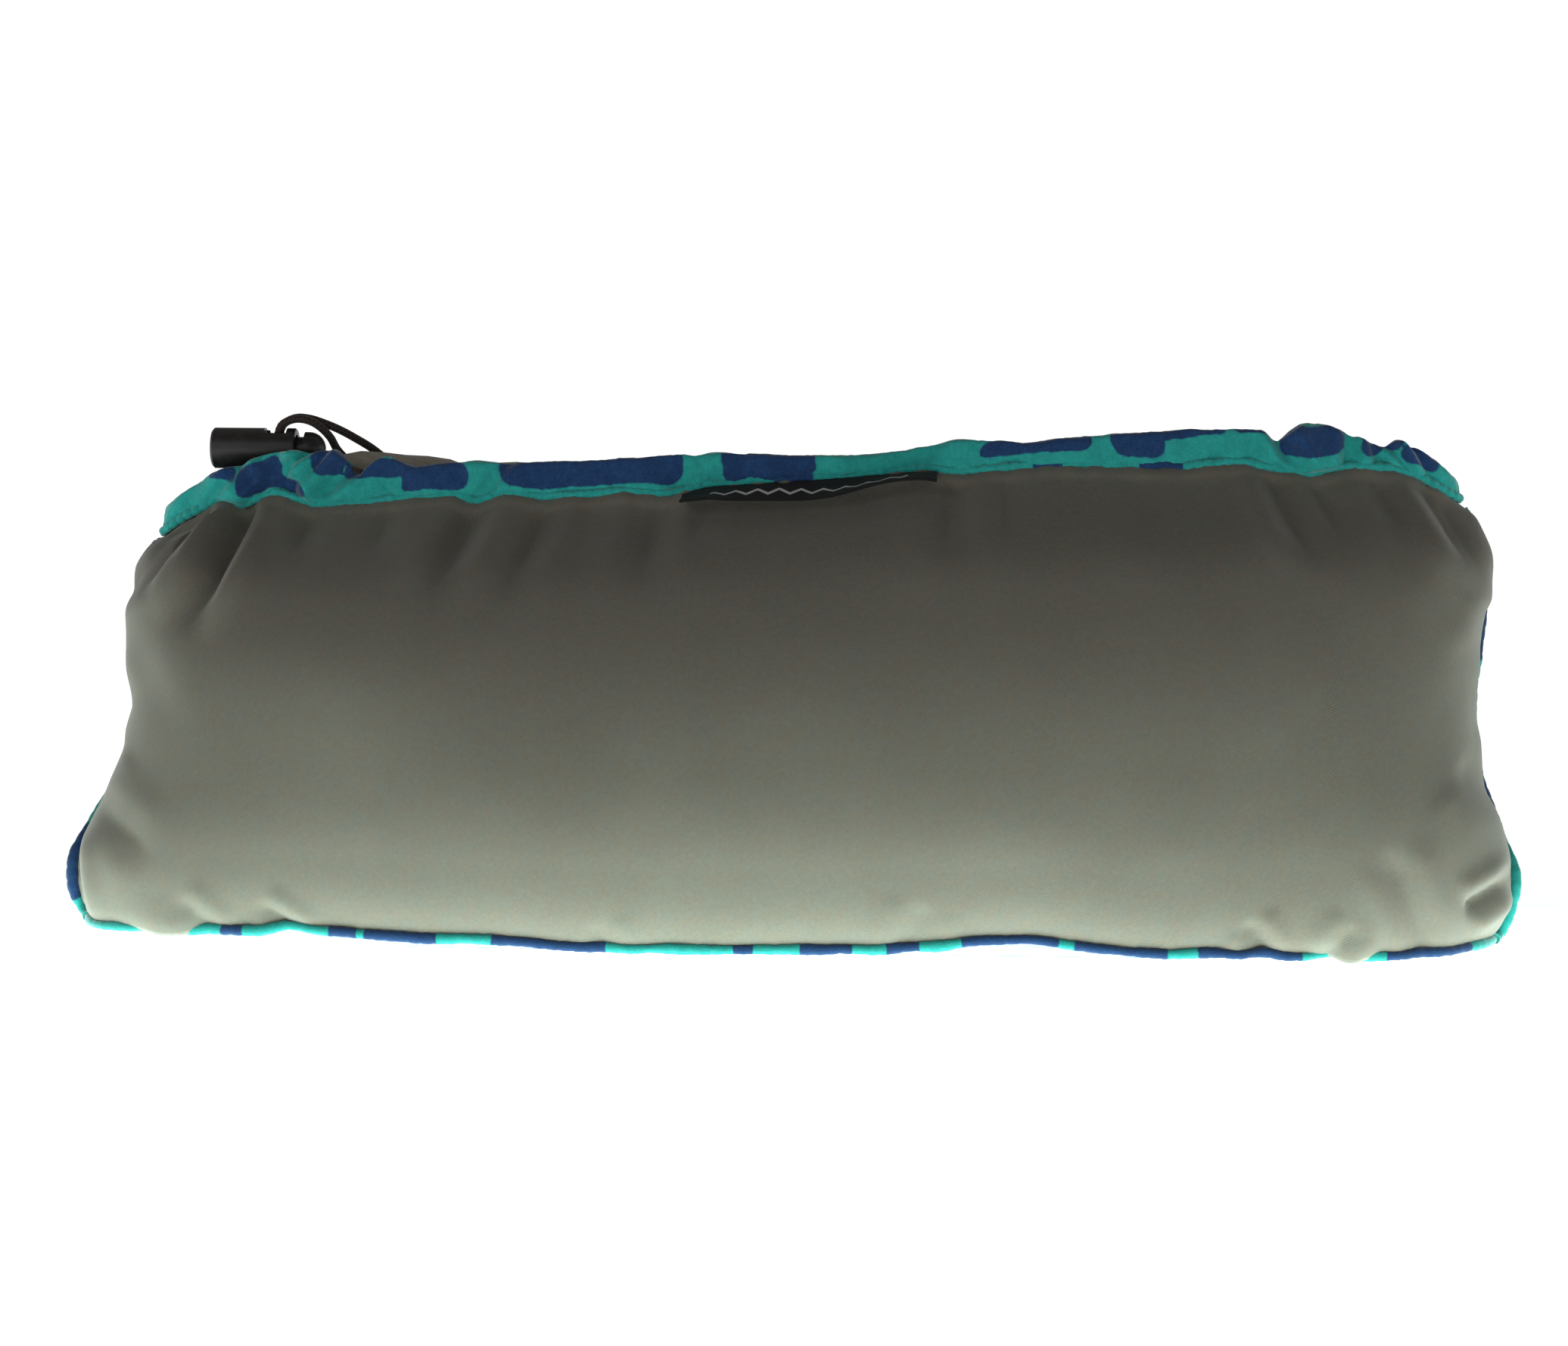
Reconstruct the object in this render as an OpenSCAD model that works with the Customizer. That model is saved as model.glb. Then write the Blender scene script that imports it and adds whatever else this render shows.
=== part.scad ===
// Camp pillow, folded and stuffed into the drawcord pocket at its own end.
// The pocket stands on its base. Its front faces -Y, +X is to the right and +Z is up.
// The origin is on the surface that it stands on, under the middle of the pocket.

/* [Pocket] */
// Length of the pocket at its widest, just above the base
pocket_w = 410; // [360:5:460]
// Depth of the pocket at its fattest
pocket_d = 146; // [120:2:170]
// Height of the fabric panels, up to the drawcord channel
panel_h = 133; // [120:1:150]
// Thickness of the brushed fabric
fabric_t = 1.2; // [0.8:0.1:1.6]
// Radius of the rolled seam that joins the two panels
seam_r = 1.6; // [1.2:0.1:2]

/* [Mouth] */
// Length of the mouth between the insides of the channel
mouth_w = 344; // [320:2:360]
// Width of the mouth between the insides of the channel
mouth_d = 34; // [30:1:40]
// Height of the drawcord channel
casing_h = 12; // [10:0.5:16]
// Thickness of the drawcord channel, front to back
casing_t = 5; // [4.6:0.1:6]

/* [Drawcord] */
// Diameter of the braided cord
cord_d = 2.4; // [2:0.1:2.6]

/* [Cord lock] */
// Outer diameter of the barrel
barrel_d = 11.5; // [11:0.1:12]
// Length of the barrel
barrel_l = 23.8; // [23:0.1:25]
// How far the push button travels
press_stroke = 2.2; // [1.6:0.1:2.3]

/* [Label] */
// Width of the woven label
label_w = 70; // [50:1:80]
// Length of the label from its sewn edge to its free edge
label_l = 13; // [10:0.5:15]
// Thickness of the folded label
label_t = 0.7; // [0.5:0.1:0.9]
// Angle of the label below horizontal at rest
label_droop = 18; // [10:1:20]

/* [Hidden] */

// The pocket stands a little taller on its right, and leans that way.
rise_per_mm = 0.00012;
lean_at_top = 6;
// Heights of the slices that make up the stuffed form, as shares of panel_h
slice_heights = [0, 0.012, 0.04, 0.09, 0.16, 0.25, 0.35, 0.46, 0.57, 0.67, 0.77, 0.86, 0.93, 0.97, 1];
slice_points = 48;
fattest_h = 56;      // height at which the pocket is deepest
base_half_d = 48;    // half the depth of the flat base
corner_flare = 12;   // how far the two lower corners swell past the ends
corner_h = 24;       // height of that swelling
corner_spread = 20;
base_round = 10;     // how far the ends tuck in at the base
base_round_h = 8;
shoulder_h = 100;    // height at which the ends start to round over towards the mouth
shoulder_w = 15;

casing_gap = 0.2;    // between the panels and the channel sewn on top of them
casing_round = 1.4;
casing_half_w = mouth_w / 2 + casing_t;
casing_half_d = mouth_d / 2 + casing_t;
casing_z = panel_h + casing_gap;
channel_half_w = casing_half_w - casing_t / 2;
channel_half_d = casing_half_d - casing_t / 2;
channel_z = 139.3;
channel_r = cord_d / 2 + 0.4;
ridge_r = 0.8;
ridge_z = 134.2;

seam_z = 5.2;            // height of the rolled seam along the front of the base
seam_gap = seam_r + 0.25;
cover_inset = fabric_t / 2 + seam_r + 0.6;
cover_top = 128.5;
foam_inset = cover_inset + fabric_t + 0.3;

lock_x = -144.5;         // the two strands pass up through the lock here
lock_z = 140;            // height of the lock's axis
barrel_start = lock_x - 18.5;
barrel_end = barrel_start + barrel_l;
bore_r = 3.9;
bore_start = barrel_start + 2;
neck_flat = 4.35;        // from the axis to the flats where the cord leaves
neck_l = 5.6;
hole_w = 5.4;            // width of the cord hole, across the two strands
hole_play = 0.25;
barrel_hole_l = 5;
plunger_r = 3.7;
plunger_start = lock_x - 6.5;
plunger_hole_l = cord_d + press_stroke + 0.3;
stem_r = 3.3;
head_r = 4.7;
head_l = 5.8;
head_start = barrel_end + press_stroke + 0.3;
spigot_r = 1.7;
spigot_l = 2;
spring_turns = 6;
spring_r = 2.9;
spring_wire_r = 0.3;

label_x = 7;
label_y = -casing_half_d - 2.4;
label_z = panel_h;
knot_r = 3.4;
knot_at = [-77.5, 9.5, 132.2];

// Routes of the two free strands. Each starts in the channel, leaves it at its buttonhole, goes up
// through the lock, bends over and lies down on the pillow in the mouth as far as the knot.
left_exit = 213;         // degrees round the channel, where the left strand starts
right_exit = 233;        // degrees round the channel, where the right strand starts
left_route = [
    [-149.8, -11.4, 135.6], [-150.3, -8.6, 134], [-150.2, -5.6, 132.2], [-149.2, -2.6, 130.8],
    [-147.2, -0.2, 130.3], [-145.3, 1, 131.2], [-144.6, 1.3, 133.4], [-144.5, 1.3, 136.5],
    [-144.5, 1.3, 140], [-144.4, 1.3, 143.5], [-143.2, 1.4, 146.8], [-139.8, 1.6, 148.6],
    [-135.8, 2, 148.4], [-131.4, 2.6, 147], [-127.3, 3.6, 145.2], [-123.4, 5, 143],
    [-119.3, 6.8, 140.4], [-115.4, 8.6, 137.2], [-111.8, 10, 133.9], [-107.6, 10.8, 131.5],
    [-102.6, 11.2, 130.4], [-97, 11.4, 130.2], [-91, 11.4, 130.4], [-85.6, 11.2, 131.2],
    [-80, 10.9, 132],
];
right_route = [
    [-126.4, -14.2, 135.6], [-130.6, -11.6, 133.6], [-134.6, -8.6, 131.6], [-138.4, -5.4, 130.3],
    [-141.6, -2.8, 130.2], [-143.8, -1.5, 132.4], [-144.5, -1.3, 136], [-144.5, -1.3, 140],
    [-144.4, -1.3, 143.5], [-143.1, -1.4, 146.7], [-139.6, -1.5, 148.3], [-135.9, -1.3, 148],
    [-132.7, -0.6, 146.3], [-129.9, 0.8, 143.3], [-128.2, 2.4, 139.9], [-125.6, 4.2, 136.8],
    [-122.4, 6, 134], [-118, 7.4, 131.6], [-112.6, 8, 130.4], [-106, 8.1, 130],
    [-99, 8.1, 130.1], [-92, 8.1, 130.4], [-86, 8.1, 131.2], [-80, 8.1, 132],
];
strand_sides = 8;
loop_steps = 72;

// ---- shapes of the stuffed pocket ----

function half_width(z) =
    pocket_w / 2 - corner_flare
    + corner_flare * exp(-pow((z - corner_h) / corner_spread, 2))
    - base_round * pow(max(0, 1 - z / base_round_h), 2)
    - shoulder_w * pow(max(0, (z - shoulder_h) / (panel_h - shoulder_h)), 2);

function half_depth(z) =
    z < fattest_h
    ? base_half_d + (pocket_d / 2 - base_half_d) * sqrt(1 - pow((fattest_h - z) / fattest_h, 2))
    : casing_half_d
        + (pocket_d / 2 - casing_half_d) * (1 - pow(min(1, (z - fattest_h) / (panel_h - fattest_h)), 3));

// A point of the upright form, moved to where the leaning pocket has it
function leaned(x, y, z) = [x + lean_at_top * z / panel_h, y, z * (1 + rise_per_mm * x)];

// A point on a rounded oblong, at an angle of t degrees
function oblong(t, a, b, z) =
    leaned(a * sign(cos(t)) * pow(abs(cos(t)), 2 / 3), b * sign(sin(t)) * pow(abs(sin(t)), 2 / 3), z);

function oblong_ring(a, b, z) = [for (i = [0:slice_points - 1]) oblong(360 * (i + 0.5) / slice_points, a, b, z)];

function pocket_point(t, z, inset) = oblong(t, half_width(z) - inset, half_depth(z) - inset, z);

function pocket_rings(inset, bottom, top) = [
    for (s = slice_heights)
        let (z = bottom + s * (top - bottom))
        oblong_ring(half_width(z) - inset, half_depth(z) - inset, z)
];

// A closed solid through a list of rings, each with the same number of points
module loft(rings) {
    n = len(rings[0]);
    m = len(rings);
    sides = [
        for (j = [0:m - 2], i = [0:n - 1])
            let (a = j * n + i, b = j * n + (i + 1) % n)
            each [[a, b + n, b], [a, a + n, b + n]]
    ];
    polyhedron(
        points = [for (r = rings) each r],
        faces = concat([[for (i = [0:n - 1]) i]], sides, [[for (i = [n - 1:-1:0]) (m - 1) * n + i]])
    );
}

module pocket_form(inset, bottom, top) loft(pocket_rings(inset, bottom, top));

// The walls of the pocket, open at the mouth
module pocket_walls() {
    above = 1;
    difference() {
        pocket_form(0, 0, panel_h);
        pocket_form(fabric_t, fabric_t, panel_h);
        translate([0, 0, panel_h - lean_at_top])
            linear_extrude(2 * lean_at_top + above)
                polygon([for (p = oblong_ring(casing_half_w - fabric_t - above, casing_half_d - fabric_t - above, panel_h))
                    [p[0], p[1]]]);
    }
}

// ---- tubes ----

function unit(v) = v / norm(v);
function heading(path, i) = unit(path[min(i + 1, len(path) - 1)] - path[max(i - 1, 0)]);
function carried(n, along) = unit(n - (n * along) * along);
function normals(path, i, last) =
    i == len(path) ? [] : let (n = carried(last, heading(path, i))) concat([n], normals(path, i + 1, n));

module tube(path, radius, sides, first_normal) {
    across = normals(path, 0, first_normal);
    loft([
        for (i = [0:len(path) - 1])
            let (n = across[i], b = cross(heading(path, i), n))
            [for (k = [0:sides - 1]) path[i] + radius * (cos(360 * k / sides) * n + sin(360 * k / sides) * b)]
    ]);
}

// A smooth curve through hand-placed points, with one point added in each gap
function between(a, b, c, d) = (9 * (b + c) - a - d) / 16;
function smooth(p) =
    let (last = len(p) - 1)
    [
        for (i = [0:last])
            each i == last
                ? [p[i]]
                : [p[i], between(p[max(i - 1, 0)], p[i], p[i + 1], p[min(i + 2, last)])]
    ];

function channel_point(t) = oblong(t, channel_half_w, channel_half_d, channel_z);
function channel_path(from, to, steps) = [for (i = [0:steps]) channel_point(from + (to - from) * i / steps)];

left_path = smooth(concat([channel_point(left_exit)], left_route));
right_path = smooth(concat([channel_point(right_exit)], right_route));

module left_strand(radius) tube(left_path, radius, strand_sides, [0, 0, 1]);
module right_strand(radius) tube(right_path, radius, strand_sides, [0, 0, 1]);

// ---- fabric of the pocket ----

module front_panel() {
    color([0.44, 0.44, 0.39])
        intersection() {
            pocket_walls();
            translate([-pocket_w, -pocket_d - seam_gap, seam_z + seam_gap])
                cube([2 * pocket_w, pocket_d, 2 * panel_h]);
        }
}

module back_panel() {
    color([0.1, 0.55, 0.52])
        difference() {
            pocket_walls();
            translate([-pocket_w, -pocket_d + seam_gap, seam_z - seam_gap])
                cube([2 * pocket_w, pocket_d, 2 * panel_h]);
        }
}

module bottom_seam() {
    steps = 48;
    path = [for (i = [0:steps]) pocket_point(180 + 180 * i / steps, seam_z, fabric_t / 2)];
    color([0.13, 0.25, 0.45]) tube(path, seam_r, 8, [0, 0, 1]);
}

module side_seam(t) {
    steps = 14;
    low = seam_z + 2 * seam_r + 0.6;
    high = panel_h - 0.4;
    path = [for (i = [0:steps]) pocket_point(t, low + (high - low) * i / steps, fabric_t / 2)];
    color([0.1, 0.6, 0.55]) tube(path, seam_r, 8, [0, 1, 0]);
}

module left_seam() side_seam(180);
module right_seam() side_seam(0);

// ---- drawcord channel round the mouth ----

module casing_solid() {
    top = casing_z + casing_h;
    outer = [
        [casing_z, casing_round / 2], [casing_z + casing_round, 0],
        [top - casing_round, 0], [top - casing_round / 3, casing_round / 3], [top, casing_round],
    ];
    difference() {
        loft([for (s = outer) oblong_ring(casing_half_w - s[1], casing_half_d - s[1], s[0])]);
        loft([for (z = [casing_z - 1, top + 1]) oblong_ring(mouth_w / 2, mouth_d / 2, z)]);
    }
}

// One half of the channel, with room for the cord inside it
module casing_half(side) {
    from = side < 0 ? 178 : -2;
    difference() {
        intersection() {
            casing_solid();
            translate([-pocket_w, side < 0 ? -pocket_d - 0.1 : 0.1, 0])
                cube([2 * pocket_w, pocket_d, 2 * panel_h]);
        }
        tube(channel_path(from, from + 184, loop_steps / 2), channel_r, strand_sides, [0, 0, 1]);
        left_strand(channel_r);
        right_strand(channel_r);
        buttonhole_place(left_path) buttonhole_seat();
        buttonhole_place(right_path) buttonhole_seat();
    }
}

module front_casing() color([0.1, 0.6, 0.55]) casing_half(-1);
module back_casing() color([0.1, 0.6, 0.55]) casing_half(1);

module casing_stitching() {
    outside = ridge_r + 0.15;
    path = [
        for (i = [0:loop_steps])
            oblong(181 + 358 * i / loop_steps, casing_half_w + outside, casing_half_d + outside, ridge_z)
    ];
    color([0.12, 0.7, 0.63]) tube(path, ridge_r, 6, [0, 0, 1]);
}

// The worked edge of the hole where a strand leaves the channel
hole_edge_r = 0.7;
hole_edge_ring_r = channel_r + hole_edge_r + 0.05;
exit_step = 3;           // the buttonhole is at this point of each strand's path

module buttonhole_place(path) {
    dir = heading(path, exit_step);
    translate(path[exit_step])
        rotate([0, acos(dir[2]), atan2(dir[1], dir[0])])
            children();
}

module buttonhole_seat() {
    r = hole_edge_ring_r + hole_edge_r + 0.2;
    depth = 2 * hole_edge_r + 0.4;
    translate([0, 0, -depth / 2]) cylinder(r = r, h = depth, $fn = 32);
}

module buttonhole() {
    color([0.12, 0.7, 0.63])
        rotate_extrude($fn = 48)
            translate([hole_edge_ring_r, 0])
                circle(r = hole_edge_r, $fn = 24);
}

module left_buttonhole() buttonhole_place(left_path) buttonhole();
module right_buttonhole() buttonhole_place(right_path) buttonhole();

// ---- label ----

module woven_label() {
    color([0.06, 0.06, 0.07])
        translate([label_x, label_y, label_z])
            rotate([label_droop, 0, 0])
                translate([-label_w / 2, -label_l, -label_t / 2])
                    cube([label_w, label_l, label_t]);
}

// ---- the pillow inside ----

// The fold of the pillow that swells up through the mouth, right of the lock
module swell() {
    centre = [-104, -4.5, 125];
    radii = [31, 9, 16];
    steps = 12;
    loft([
        for (i = [1:steps - 1])
            let (a = 180 * i / steps)
            [
                for (k = [0:23])
                    centre + [
                        radii[0] * sin(a) * cos(15 * k),
                        radii[1] * sin(a) * sin(15 * k),
                        -radii[2] * cos(a),
                    ]
            ]
    ]);
}

module folded_pillow_cover() {
    color([0.5, 0.49, 0.43])
        difference() {
            union() {
                pocket_form(cover_inset, cover_inset, cover_top);
                swell();
            }
            pocket_form(cover_inset + fabric_t, cover_inset + fabric_t, cover_top - fabric_t);
        }
}

module foam_filling() {
    color([0.9, 0.85, 0.6]) pocket_form(foam_inset, foam_inset, cover_top - fabric_t - 0.3);
}

// ---- cords ----

module drawcord() {
    path = channel_path(left_exit, right_exit - 360, loop_steps);
    color([0.12, 0.1, 0.09]) tube(path, cord_d / 2, strand_sides, [0, 0, 1]);
}

module cord_strand_left() color([0.14, 0.11, 0.1]) left_strand(cord_d / 2);
module cord_strand_right() color([0.14, 0.11, 0.1]) right_strand(cord_d / 2);

module cord_knot() {
    color([0.14, 0.11, 0.1])
        translate(knot_at)
            sphere(r = knot_r, $fn = 32);
}

// ---- cord lock, along X ----

module turned(profile) translate([0, 0, lock_z]) rotate([0, 90, 0]) rotate_extrude($fn = 64) polygon(profile);

// A slot through the lock for both strands, from one X to another
module cord_hole(from, to) {
    translate([from, -hole_w / 2, lock_z - barrel_d])
        cube([to - from, hole_w, 2 * barrel_d]);
}

module lock_barrel() {
    r = barrel_d / 2;
    edge = 0.6;
    lip = 0.4;
    color([0.12, 0.12, 0.13])
        difference() {
            turned([
                [0, barrel_start], [r - edge, barrel_start], [r, barrel_start + edge],
                [r, barrel_end - lip], [r - lip, barrel_end], [bore_r, barrel_end],
                [bore_r, bore_start], [0, bore_start],
            ]);
            for (side = [-1, 1])
                translate([lock_x - neck_l / 2, -barrel_d, lock_z + side * (neck_flat + barrel_d / 2) - barrel_d / 2])
                    cube([neck_l, 2 * barrel_d, barrel_d]);
            cord_hole(lock_x + cord_d / 2 + hole_play - barrel_hole_l, lock_x + cord_d / 2 + hole_play);
        }
}

module lock_plunger() {
    steps = 8;
    shoulder = 1.2;
    hole_start = lock_x - cord_d / 2 - hole_play;
    dome = [
        for (i = [0:steps])
            [head_r * cos(90 * i / steps), head_start + shoulder + (head_l - shoulder) * sin(90 * i / steps)]
    ];
    color([0.09, 0.09, 0.1])
        difference() {
            turned(concat(
                [
                    [0, plunger_start - spigot_l], [spigot_r, plunger_start - spigot_l],
                    [spigot_r, plunger_start], [plunger_r, plunger_start],
                    [plunger_r, barrel_end - 0.6], [stem_r, barrel_end - 0.6],
                    [stem_r, head_start], [head_r, head_start],
                ],
                [for (i = [0:steps - 1]) dome[i]],
                [[0, head_start + head_l]]
            ));
            cord_hole(hole_start, hole_start + plunger_hole_l);
        }
}

module lock_spring() {
    per_turn = 12;
    from = bore_start + spring_wire_r + 0.1;
    to = plunger_start - spring_wire_r - 0.1;
    count = spring_turns * per_turn;
    path = [
        for (i = [0:count])
            [
                from + (to - from) * i / count,
                spring_r * cos(360 * i / per_turn),
                lock_z + spring_r * sin(360 * i / per_turn),
            ]
    ];
    color([0.7, 0.7, 0.72]) tube(path, spring_wire_r, 6, [1, 0, 0]);
}

front_panel();
back_panel();
bottom_seam();
left_seam();
right_seam();
front_casing();
back_casing();
casing_stitching();
woven_label();
folded_pillow_cover();
foam_filling();
drawcord();
left_buttonhole();
right_buttonhole();
cord_strand_left();
cord_strand_right();
cord_knot();
lock_barrel();
lock_plunger();
lock_spring();
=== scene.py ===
import math

import bpy
import numpy as np
from mathutils import Matrix, Vector


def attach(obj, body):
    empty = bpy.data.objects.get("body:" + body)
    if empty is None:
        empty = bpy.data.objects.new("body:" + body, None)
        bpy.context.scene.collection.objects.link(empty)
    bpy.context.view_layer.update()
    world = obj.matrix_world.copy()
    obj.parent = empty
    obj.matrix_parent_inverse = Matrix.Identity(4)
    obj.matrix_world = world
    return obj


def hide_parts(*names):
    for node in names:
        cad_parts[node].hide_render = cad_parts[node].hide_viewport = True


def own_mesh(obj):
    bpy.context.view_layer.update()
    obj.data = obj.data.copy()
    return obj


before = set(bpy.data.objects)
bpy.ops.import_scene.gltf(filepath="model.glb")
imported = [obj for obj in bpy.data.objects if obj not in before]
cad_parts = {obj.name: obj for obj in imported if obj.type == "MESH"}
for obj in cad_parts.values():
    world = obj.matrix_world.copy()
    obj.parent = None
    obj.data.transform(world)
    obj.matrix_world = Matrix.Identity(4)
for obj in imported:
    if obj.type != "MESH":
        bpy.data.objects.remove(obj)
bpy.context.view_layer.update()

MM = 0.001

# ---------------------------------------------------------------- camera, light and floor

# The view is nearly level and nearly square on: a little from the right, a little from above.
VIEW_AZIMUTH = math.radians(3.0)
VIEW_ELEVATION = math.radians(4.0)
VIEW_ROLL = math.radians(0.45)
VIEW_DISTANCE = 1.003
VIEW_TARGET = Vector((0.0012, -0.040, 0.0808))


def make_camera():
    data = bpy.data.cameras.new("camera")
    data.lens = 85
    data.sensor_width = 36
    camera = bpy.data.objects.new("camera", data)
    back = Vector((
        math.sin(VIEW_AZIMUTH) * math.cos(VIEW_ELEVATION),
        -math.cos(VIEW_AZIMUTH) * math.cos(VIEW_ELEVATION),
        math.sin(VIEW_ELEVATION),
    ))
    camera.location = VIEW_TARGET + back * VIEW_DISTANCE
    turn = Matrix.Rotation(VIEW_AZIMUTH, 4, "Z") @ Matrix.Rotation(math.pi / 2 - VIEW_ELEVATION, 4, "X")
    camera.rotation_euler = (turn @ Matrix.Rotation(VIEW_ROLL, 4, "Z")).to_euler()
    bpy.context.scene.collection.objects.link(camera)
    bpy.context.scene.camera = camera


def area_light(name, place, aim, size, power):
    data = bpy.data.lights.new(name, "AREA")
    data.shape = "RECTANGLE"
    data.size, data.size_y = size
    data.energy = power
    lamp = bpy.data.objects.new(name, data)
    lamp.location = place
    lamp.rotation_euler = (Vector(aim) - Vector(place)).to_track_quat("-Z", "Y").to_euler()
    bpy.context.scene.collection.objects.link(lamp)


def make_world():
    """A light tent: white behind the object near the horizon, dim overhead and behind the camera."""
    world = bpy.data.worlds.new("light_tent")
    world.use_nodes = True
    tree = world.node_tree
    background = tree.nodes["Background"]
    coords = tree.nodes.new("ShaderNodeTexCoord")
    split = tree.nodes.new("ShaderNodeSeparateXYZ")
    ramp = tree.nodes.new("ShaderNodeValToRGB")
    rear = tree.nodes.new("ShaderNodeMapRange")
    rear.interpolation_type = "SMOOTHSTEP"
    for socket, value in zip(list(rear.inputs)[1:5], (-0.35, 0.15, 0.35, 1.0)):
        socket.default_value = value
    tree.links.new(coords.outputs["Generated"], split.inputs[0])
    tree.links.new(split.outputs["Y"], rear.inputs[0])
    tree.links.new(rear.outputs[0], background.inputs["Strength"])
    tree.links.new(split.outputs["Z"], ramp.inputs[0])
    tree.links.new(ramp.outputs[0], background.inputs["Color"])
    stops = ramp.color_ramp.elements
    stops[0].position, stops[0].color = 0.14, (1.05, 1.05, 1.05, 1)
    stops[1].position, stops[1].color = 0.26, (0.195, 0.184, 0.177, 1)
    bpy.context.scene.world = world


def make_floor():
    """The lit table: a wide white plate that glows, most of all where the object stands."""
    mesh = bpy.data.meshes.new("floor")
    half = 4.0
    mesh.from_pydata(
        [(-half, -half, 0), (half, -half, 0), (half, half, 0), (-half, half, 0)], [], [(0, 1, 2, 3)]
    )
    floor = bpy.data.objects.new("floor", mesh)
    floor.location.z = -0.0004      # just clear of the object's base
    bpy.context.scene.collection.objects.link(floor)
    w = Weave("lit_table")
    shape = w.node("VectorMath", {0: w.place(), 1: (0.3, 1.0, 1.0)}, operation="MULTIPLY").outputs[0]
    away = w.node("VectorMath", {0: shape}, operation="LENGTH").outputs["Value"]
    tint = w.range(away, 0.12, 0.26, 0.0, 1.0)
    mesh.materials.append(w.set(
        Base_Color=(0.85, 0.85, 0.85, 1), Roughness=0.8, Specular_IOR_Level=0.1,
        Emission_Color=w.mix(tint, (0.87, 1.0, 0.93, 1), (1.0, 1.0, 1.0, 1)),
        Emission_Strength=w.range(away, 0.046, 0.135, 6.2, 0.94, "SMOOTHSTEP"),
    ))


# ---------------------------------------------------------------- small tools


class Weave:
    """Builds a material's node tree from short calls."""

    def __init__(self, name):
        self.mat = bpy.data.materials.new(name)
        self.mat.use_nodes = True
        self.tree = self.mat.node_tree
        self.shader = self.tree.nodes["Principled BSDF"]

    def feed(self, socket, value):
        """Links a socket to another node's output, or sets its value."""
        if isinstance(value, bpy.types.NodeSocket):
            self.tree.links.new(value, socket)
        else:
            socket.default_value = value

    def node(self, kind, inputs=None, **settings):
        n = self.tree.nodes.new("ShaderNode" + kind)
        for key, value in settings.items():
            setattr(n, key, value)
        for key, value in (inputs or {}).items():
            self.feed(n.inputs[key], value)
        return n

    def math(self, operation, a, b=0.0):
        return self.node("Math", {0: a, 1: b}, operation=operation).outputs[0]

    def add(self, a, b):
        return self.math("ADD", a, b)

    def less(self, a, b):
        return self.math("SUBTRACT", a, b)

    def times(self, a, b):
        return self.math("MULTIPLY", a, b)

    def wave(self, a, rate):
        return self.math("SINE", self.times(a, rate))

    def mix(self, factor, a, b, blend="MIX"):
        return self.node("Mix", {0: factor, 6: a, 7: b}, data_type="RGBA", blend_type=blend).outputs[2]

    def noise(self, where, scale, detail=2.0, rough=0.5):
        return self.node(
            "TexNoise", {"Vector": where, "Scale": scale, "Detail": detail, "Roughness": rough}
        ).outputs["Fac"]

    def range(self, value, low, high, to_low, to_high, ease="LINEAR"):
        inputs = {0: value, 1: low, 2: high, 3: to_low, 4: to_high}
        return self.node("MapRange", inputs, interpolation_type=ease).outputs[0]

    def spread(self, noise, to_low, to_high):
        """Stretches a noise, most of which lies between 0.3 and 0.7, to another range."""
        return self.range(noise, 0.3, 0.7, to_low, to_high)

    def place(self):
        return self.node("TexCoord").outputs["Object"]

    def cloth_xy(self):
        """Where a point is on the flat cloth, in millimetres."""
        split = self.node("SeparateXYZ", {0: self.node("UVMap", uv_map="cloth").outputs[0]})
        return split.outputs[0], split.outputs[1]

    def bump(self, height, strength, distance):
        return self.node("Bump", {"Height": height, "Strength": strength, "Distance": distance}).outputs[0]

    def set(self, **values):
        for key, value in values.items():
            self.feed(self.shader.inputs[key.replace("_", " ")], value)
        return self.mat


def lattice_noise(x, y, cell, seed):
    """Smooth noise from -1 to 1 over the plane, with cells of that size, the same each run."""
    table = np.random.default_rng(seed).uniform(-1, 1, (64, 64))
    u, v = np.asarray(x) / cell, np.asarray(y) / cell
    i, j = np.floor(u).astype(int), np.floor(v).astype(int)
    a, b = u - i, v - j
    a, b = a * a * (3 - 2 * a), b * b * (3 - 2 * b)
    at = lambda p, q: table[p % 64, q % 64]
    low = at(i, j) * (1 - a) + at(i + 1, j) * a
    high = at(i, j + 1) * (1 - a) + at(i + 1, j + 1) * a
    return low * (1 - b) + high * b


def smooth_step(x, low, high):
    t = np.clip((np.asarray(x, float) - low) / (high - low), 0, 1)
    return t * t * (3 - 2 * t)


def bell(x, centre, width):
    return np.exp(-(((np.asarray(x, float) - centre) / width) ** 2))


def curve_through(points, x):
    """A smooth line through a few (x, value) points."""
    px, py = np.array(points, float).T
    fine = np.linspace(px[0], px[-1], 400)
    values = np.interp(fine, px, py)
    kernel = np.hanning(7)
    padded = np.pad(values, 3, mode="edge")
    return np.interp(x, fine, np.convolve(padded, kernel / kernel.sum(), "valid"))


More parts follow.
